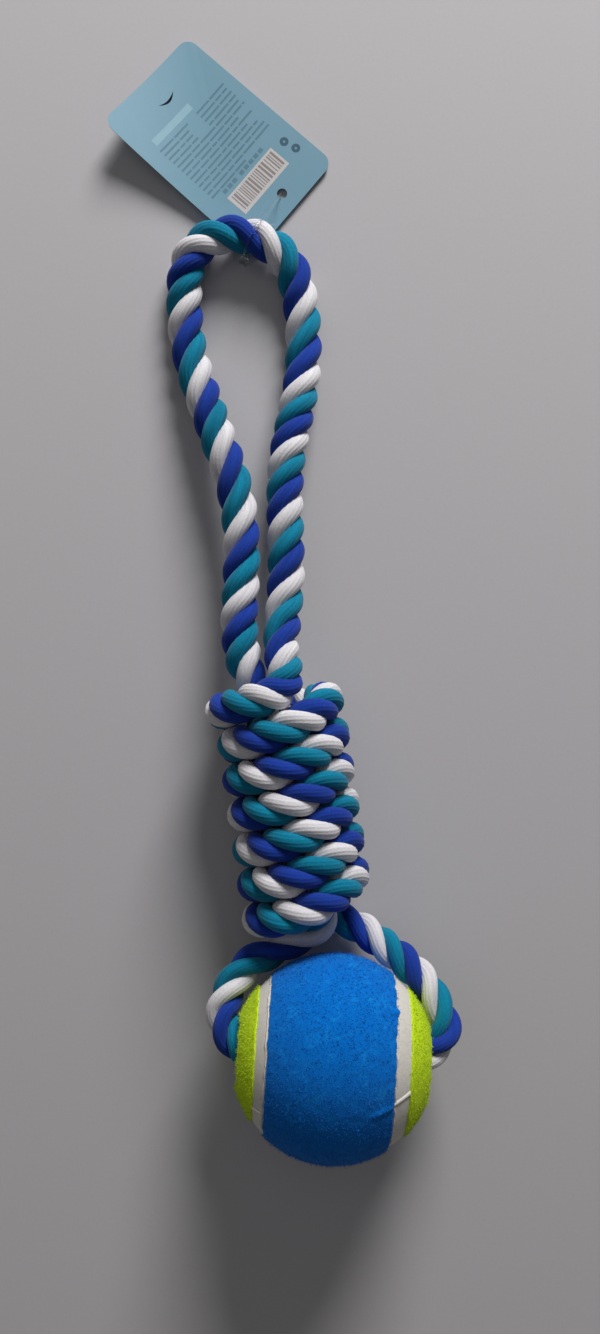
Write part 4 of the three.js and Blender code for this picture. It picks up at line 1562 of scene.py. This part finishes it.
@dataclass
class Tag:
    """The curled card tag with its plain print.

    Places on the flat card are given from its hole, across and along, with its underside at height 0.
    """

    hole: Point = (17.2 * MM, 206.2 * MM, 0.95 * MM)
    turn: float = math.radians(43.9)
    width: float = 41.6 * MM
    length: float = 64.5 * MM
    thickness: float = 0.45 * MM
    corner: float = 4 * MM
    hole_radius: float = 1.7 * MM
    hole_to_edge: float = 6.2 * MM
    hole_off_centre: float = 1.6 * MM
    curl_radius: float = 92 * MM
    curl_start: float = 12 * MM
    curl_turn: float = math.radians(35)
    creases: int = 26
    slot_width: float = 7.2 * MM
    slot_depth: float = 1.8 * MM
    slot_inner_share: float = 0.5
    slot_to_edge: float = 8.6 * MM
    slot_steps: int = 12
    print_thickness: float = 0.03 * MM
    heading: Block = (-16 * MM, 41 * MM, 18.2 * MM, 2.5 * MM)
    rules: int = 13
    split_rules: int = 4
    first_rule: float = 38.6 * MM
    rule_spacing: float = 1.86 * MM
    rule_width: float = 0.7 * MM
    rule_start: float = -16.6 * MM
    rule_end: tuple[float, float] = (10 * MM, 15.5 * MM)
    split_end: tuple[float, float] = (-4.5 * MM, -2 * MM)
    second_start: float = 1.6 * MM
    second_end: tuple[float, float] = (13 * MM, 16.8 * MM)
    last_end: float = 0.6 * MM
    word: tuple[float, float] = (2.2 * MM, 7.5 * MM)
    shortest_word: float = 1 * MM
    word_gap: float = 0.55 * MM
    dash_starts: tuple[float, ...] = tuple(x * MM for x in (-12.6, -10.2, -7.8, -4.2, -1.8, 0.6, 3.0, 5.4))
    dash_place: float = 14.2 * MM
    dash_size: tuple[float, float] = (1.7 * MM, 1.4 * MM)
    panel: Block = (-13.2 * MM, 4.7 * MM, 22.4 * MM, 8.2 * MM)
    bar_margins: Block = (1.3 * MM, 1.2 * MM, 1.6 * MM, 0.8 * MM)
    bar_widths: tuple[float, ...] = (0.3 * MM, 0.35 * MM, 0.5 * MM, 0.8 * MM)
    bar_gaps: tuple[float, ...] = (0.45 * MM, 0.6 * MM, 0.8 * MM)
    ring_radius: float = 0.95 * MM
    ring_width: float = 1.1 * MM
    upper_ring: tuple[float, float] = (13.7 * MM, 10.8 * MM)
    lower_ring: tuple[float, float] = (14.6 * MM, 6.4 * MM)

    @property
    def right(self) -> float:
        """The card's right edge, from the hole."""
        return self.width / 2 - self.hole_off_centre

    def curl(self, piece: bpy.types.Object) -> None:
        """Scores a flat piece across the curl, lifts it on to the curled card and puts it in its place.

        Args:
            piece: A piece on the flat card, with the hole at its origin.
        """
        angle = math.pi - self.curl_turn
        way = Vector((math.cos(angle), math.sin(angle), 0))
        reach = self.length + self.width
        places = [vertex.co.dot(way) for vertex in piece.data.vertices]
        for crease in range(self.creases):
            place = self.curl_start + (reach - self.curl_start) * crease / self.creases
            if min(places) < place < max(places):
                Bench.score(piece, way * place, way)
        for vertex in piece.data.vertices:
            vertex.co.z += max(vertex.co.dot(way) - self.curl_start, 0.0) ** 2 / (2 * self.curl_radius)
        piece.data.transform(Matrix.Translation(self.hole) @ Matrix.Rotation(self.turn, 4, "Z"))
        piece.data.update()

    def slab(self, name: str, block: Block, low: float, thick: float) -> bpy.types.Object:
        """Adds a thin flat block on the flat card.

        Args:
            name: The piece's name.
            block: Its left and bottom edge, its width and its length.
            low: Its underside's height.
            thick: Its thickness.

        Returns:
            The block.
        """
        left, bottom, width, length = block
        return Bench.start(
            name, bpy.ops.mesh.primitive_cube_add, size=1.0, scale=(width, length, thick),
            location=(left + width / 2, bottom + length / 2, low + thick / 2),
        )

    def rounded(self, piece: bpy.types.Object) -> None:
        """Rounds a slab's four upright edges."""
        Bench.take(piece)
        bpy.ops.object.mode_set(mode="EDIT")
        bpy.ops.mesh.select_mode(type="EDGE")
        bpy.ops.mesh.select_all(action="DESELECT")
        bpy.ops.object.mode_set(mode="OBJECT")
        for edge in piece.data.edges:
            first, second = (piece.data.vertices[index].co for index in edge.vertices)
            edge.select = abs(first.x - second.x) < TINY and abs(first.y - second.y) < TINY
        bpy.ops.object.mode_set(mode="EDIT")
        bpy.ops.mesh.bevel(offset=self.corner, segments=8, affect="EDGES")
        bpy.ops.object.mode_set(mode="OBJECT")

    def card(self) -> bpy.types.Object:
        """Makes the card with its hole and its hang slot."""
        block = (self.right - self.width, -self.hole_to_edge, self.width, self.length)
        card = self.slab("tag_card_sheet", block, 0, self.thickness)
        self.rounded(card)
        drill = Bench.start(
            "drill", bpy.ops.mesh.primitive_cylinder_add, vertices=40, radius=self.hole_radius,
            depth=self.width, location=(0, 0, 0),
        )
        for cutter in (drill, self.slot_cutter()):
            Bench.apply(card, "BOOLEAN", object=cutter, operation="DIFFERENCE", solver="EXACT")
            bpy.data.objects.remove(cutter)
        self.curl(card)
        Bench.shade(card, 30)
        return card

    def slot_cutter(self) -> bpy.types.Object:
        """Makes the crescent that cuts the hang slot."""
        steps = self.slot_steps
        outer = [(step / steps * 2 - 1, 1.0) for step in range(steps + 1)]
        inner = [(1 - step / steps * 2, self.slot_inner_share) for step in range(1, steps)]
        outline = [
            (self.right - self.width / 2 + t * self.slot_width / 2, -self.slot_depth * (1 - t * t) * share)
            for t, share in outer + inner
        ]
        base = self.length - self.hole_to_edge - self.slot_to_edge
        places = [(x, base + y, z) for z in (-self.width, self.width) for x, y in outline]
        count = len(outline)
        faces = [list(range(count))[::-1], list(range(count, 2 * count))]
        faces += [[i, (i + 1) % count, count + (i + 1) % count, count + i] for i in range(count)]
        return mesh_piece("slot_cutter", np.array(places), faces, smooth=False)

    def printed(self, name: str, blocks: Sequence[Block], look: Look, layer: int = 0) -> None:
        """Prints plain blocks on the card.

        Args:
            name: The piece's name.
            blocks: The blocks on the flat card.
            look: The print's finish.
            layer: How many prints lie below this one.
        """
        low = self.thickness + layer * self.print_thickness
        parts = []
        for index, block in enumerate(blocks):
            parts.append(self.slab(f"{name}_{index}", block, low, self.print_thickness))
        Bench.take(parts[0])
        if len(parts) > 1:
            for part in parts:
                part.select_set(True)
            bpy.ops.object.join()
        piece = bpy.context.object
        piece.name = name
        self.curl(piece)
        give(piece, "tag", look)

    def text_lines(self) -> list[Block]:
        """Lays out plain ruled lines of uneven length in the place of small print."""
        dice = random.Random(5)
        blocks = []
        for line in range(self.rules):
            if line < self.split_rules:
                first_end, second_end = dice.uniform(*self.split_end), dice.uniform(*self.second_end)
                spans = [(self.rule_start, first_end), (self.second_start, second_end)]
            elif line < self.rules - 1:
                spans = [(self.rule_start, dice.uniform(*self.rule_end))]
            else:
                spans = [(self.rule_start, self.last_end)]
            for x, stop in spans:
                while x < stop:
                    word = min(dice.uniform(*self.word), stop - x)
                    if word > self.shortest_word:
                        blocks.append((x, self.first_rule - line * self.rule_spacing, word, self.rule_width))
                    x += word + self.word_gap
        return blocks

    def bar_lines(self) -> list[Block]:
        """Lays out plain bars of a few widths on the white panel."""
        dice = random.Random(8)
        left, bottom, width, length = self.panel
        margin_left, margin_bottom, margin_right, margin_top = self.bar_margins
        blocks = []
        x = left + margin_left
        while x < left + width - margin_right:
            bar = dice.choice(self.bar_widths)
            blocks.append((x, bottom + margin_bottom, bar, length - (margin_bottom + margin_top)))
            x += bar + dice.choice(self.bar_gaps)
        return blocks

    def ring(self, name: str, place: tuple[float, float], look: Look) -> None:
        """Prints a plain ring on the card.

        Args:
            name: The piece's name.
            place: Its place on the flat card.
            look: The print's finish.
        """
        ring = Bench.start(
            name, bpy.ops.mesh.primitive_torus_add, major_radius=self.ring_radius,
            minor_radius=self.ring_width / 2, major_segments=40, minor_segments=8, location=(*place, 0),
        )
        low = self.thickness + self.print_thickness / 2
        for vertex in ring.data.vertices:
            vertex.co.z = low + vertex.co.z * self.print_thickness / self.ring_width
        self.curl(ring)
        give(ring, "tag", look)

    def make(self, finishes: Finishes) -> None:
        """Builds the card and its prints.

        Args:
            finishes: The toy's finishes.
        """
        give(self.card(), "tag", finishes.card, "tag_card")
        self.printed("tag_print_heading", [self.heading], finishes.print_pale)
        self.printed("tag_print_rules", self.text_lines(), finishes.print_dark)
        dashes = [(start, self.dash_place, *self.dash_size) for start in self.dash_starts]
        self.printed("tag_print_line", dashes, finishes.print_dark)
        self.printed("tag_print_panel", [self.panel], finishes.print_white)
        self.printed("tag_print_bars", self.bar_lines(), finishes.print_grey, layer=1)
        self.ring("tag_print_ring_upper", self.upper_ring, finishes.print_deep)
        self.ring("tag_print_ring_lower", self.lower_ring, finishes.print_deep)


@dataclass
class Fastener:
    """The clear filament that holds the tag to the rope, and its lock, of the CAD fastener's sizes."""

    tag: Tag
    seat: Point = (6.4 * MM, 190.1 * MM, 8.1 * MM)
    radius: float = 0.3 * MM
    rope_radius: float = 6.1 * MM
    rope_gap: float = 0.45 * MM
    table_gap: float = 0.05 * MM
    bend: float = 1 * MM
    arc_end: int = 60
    arc_step: int = 20
    descent_before: float = 4.2 * MM
    descent_share: float = 0.72
    curve_steps: int = 10
    lock_size: Point = (2.2 * MM, 3 * MM, 3.4 * MM)
    lock_offset: float = 0.55 * MM
    lock_edge: float = 0.45 * MM

    @property
    def around(self) -> float:
        """How far from the rope's middle the filament runs."""
        return self.rope_radius + self.rope_gap + self.radius

    @property
    def lock_height(self) -> float:
        """The height of the lock's middle."""
        return self.seat[2] - self.around / 2

    def route(self) -> list[tuple[float, float]]:
        """Lists the filament's way: round the rope, down through the card's hole and back to the lock.

        Returns:
            Places as the distance from the rope's middle towards the hole, and the height.
        """
        around, bend = self.around, self.bend
        height = self.seat[2]
        reach = math.dist(self.seat[:2], self.tag.hole[:2])
        run = self.table_gap + self.radius
        card = self.tag.hole[2] + self.tag.thickness
        landing = card + 2 * self.radius
        lock_top = self.lock_height + self.lock_size[2] / 2
        lock_bottom = self.lock_height - self.lock_size[2] / 2
        arc = [math.radians(degrees) for degrees in range(180, self.arc_end - 1, -self.arc_step)]
        return [
            (-around, lock_top),
            (-around, (lock_top + height) / 2),
            *((around * math.cos(angle), height + around * math.sin(angle)) for angle in arc),
            (reach - self.descent_before, landing + (height - landing) * self.descent_share),
            (reach - bend, landing + bend / 2),
            (reach, card - self.tag.thickness / 2),
            (reach - bend, run),
            (reach / 2, run),
            (0.0, run),
            (bend - around, run),
            (-around, run + bend),
            (-around, lock_bottom),
        ]

    def make(self, finishes: Finishes) -> None:
        """Builds the filament and its lock.

        Args:
            finishes: The toy's finishes.
        """
        seat = Vector(self.seat)
        way = Vector((self.tag.hole[0] - seat.x, self.tag.hole[1] - seat.y, 0)).normalized()
        route = [(seat.x + way.x * out, seat.y + way.y * out, up) for out, up in self.route()]
        line = Curves.catmull(route, self.curve_steps)
        curve = bpy.data.curves.new("tag_filament", "CURVE")
        curve.dimensions = "3D"
        curve.bevel_depth = self.radius
        curve.bevel_resolution = 5
        curve.use_fill_caps = True
        spline = curve.splines.new("POLY")
        spline.points.add(len(line) - 1)
        spline.points.foreach_set("co", np.hstack([line, np.ones((len(line), 1))]).ravel())
        filament = bpy.data.objects.new("tag_filament", curve)
        bpy.context.scene.collection.objects.link(filament)
        Bench.take(filament)
        bpy.ops.object.convert(target="MESH")
        filament = bpy.context.object
        Bench.shade(filament, 60)
        give(filament, "tag_fastener", finishes.clear, "fastener_loop")
        middle = seat - way * (self.around + self.lock_offset)
        lock = Bench.start(
            "tag_fastener_block", bpy.ops.mesh.primitive_cube_add, size=1.0, scale=self.lock_size,
            location=(middle.x, middle.y, self.lock_height), rotation=(0, 0, math.atan2(way.y, way.x)),
        )
        Bench.apply(lock, "BEVEL", width=self.lock_edge, segments=4)
        Bench.shade(lock, 50)
        give(lock, "tag_fastener", finishes.clear, "fastener_lock")


@dataclass(frozen=True)
class Lamp:
    """A round soft lamp, pointed at the toy."""

    name: str
    place: Point
    size: float
    power: float


@dataclass
class Studio:
    """A plain pale floor, soft lamps and a pale world, none of which is part of the toy."""

    floor_size: float = 8
    floor_drop: float = 0.1 * MM
    floor_colour: Colour = srgb(192, 189, 191)
    floor_light: Colour = srgb(198, 195, 197)
    floor_grain: float = 900
    aim: Point = (0.0, 60 * MM, 0.0)
    lamps: tuple[Lamp, ...] = (
        Lamp("key", (0.42, 1.2, 0.6), 0.55, 20.5),
        Lamp("fill", (-0.3, 0.4, 1.2), 1.2, 0.8),
    )
    world_colour: Colour = (1, 1, 1, 1)
    world_strength: float = 0.1

    def make(self) -> None:
        """Builds the floor, the lamps and the world."""
        floor = Bench.start(
            "floor", bpy.ops.mesh.primitive_plane_add, size=self.floor_size, location=(0, 0, -self.floor_drop)
        )
        material, sheet, shader = plain_material("floor")
        grain = sheet.noise(sheet.add("TexCoord").outputs["Object"], scale=self.floor_grain, detail=2.0)
        colour = sheet.mix(grain, self.floor_colour, self.floor_light)
        sheet.fill(shader, {"Base Color": colour, "Roughness": 0.9, "Specular IOR Level": 0.1})
        floor.data.materials.append(material)
        for lamp in self.lamps:
            self.light(lamp)
        world = bpy.data.worlds.new("studio")
        world.use_nodes = True
        background = {"Color": self.world_colour, "Strength": self.world_strength}
        NodeSheet(world.node_tree).fill(world.node_tree.nodes["Background"], background)
        bpy.context.scene.world = world

    def light(self, lamp: Lamp) -> None:
        """Hangs one lamp."""
        data = bpy.data.lights.new(lamp.name, "AREA")
        data.shape = "DISK"
        data.size = lamp.size
        data.energy = lamp.power
        hung = bpy.data.objects.new(lamp.name, data)
        hung.location = lamp.place
        hung.rotation_euler = (Vector(lamp.place) - Vector(self.aim)).to_track_quat("Z", "Y").to_euler()
        bpy.context.scene.collection.objects.link(hung)


def main() -> None:
    """Builds the view, the toy and the studio."""
    logging.basicConfig(level=logging.INFO, format="%(message)s")
    bpy.context.scene.view_settings.view_transform = "Standard"
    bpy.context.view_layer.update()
    View().make()
    finishes = Finishes()
    Rope().make(finishes)
    EndTapes().make(finishes)
    FeltBall().make(finishes)
    tag = Tag()
    tag.make(finishes)
    Fastener(tag).make(finishes)
    Studio().make()
    Bench.clear()


if __name__ == "__main__":
    main()
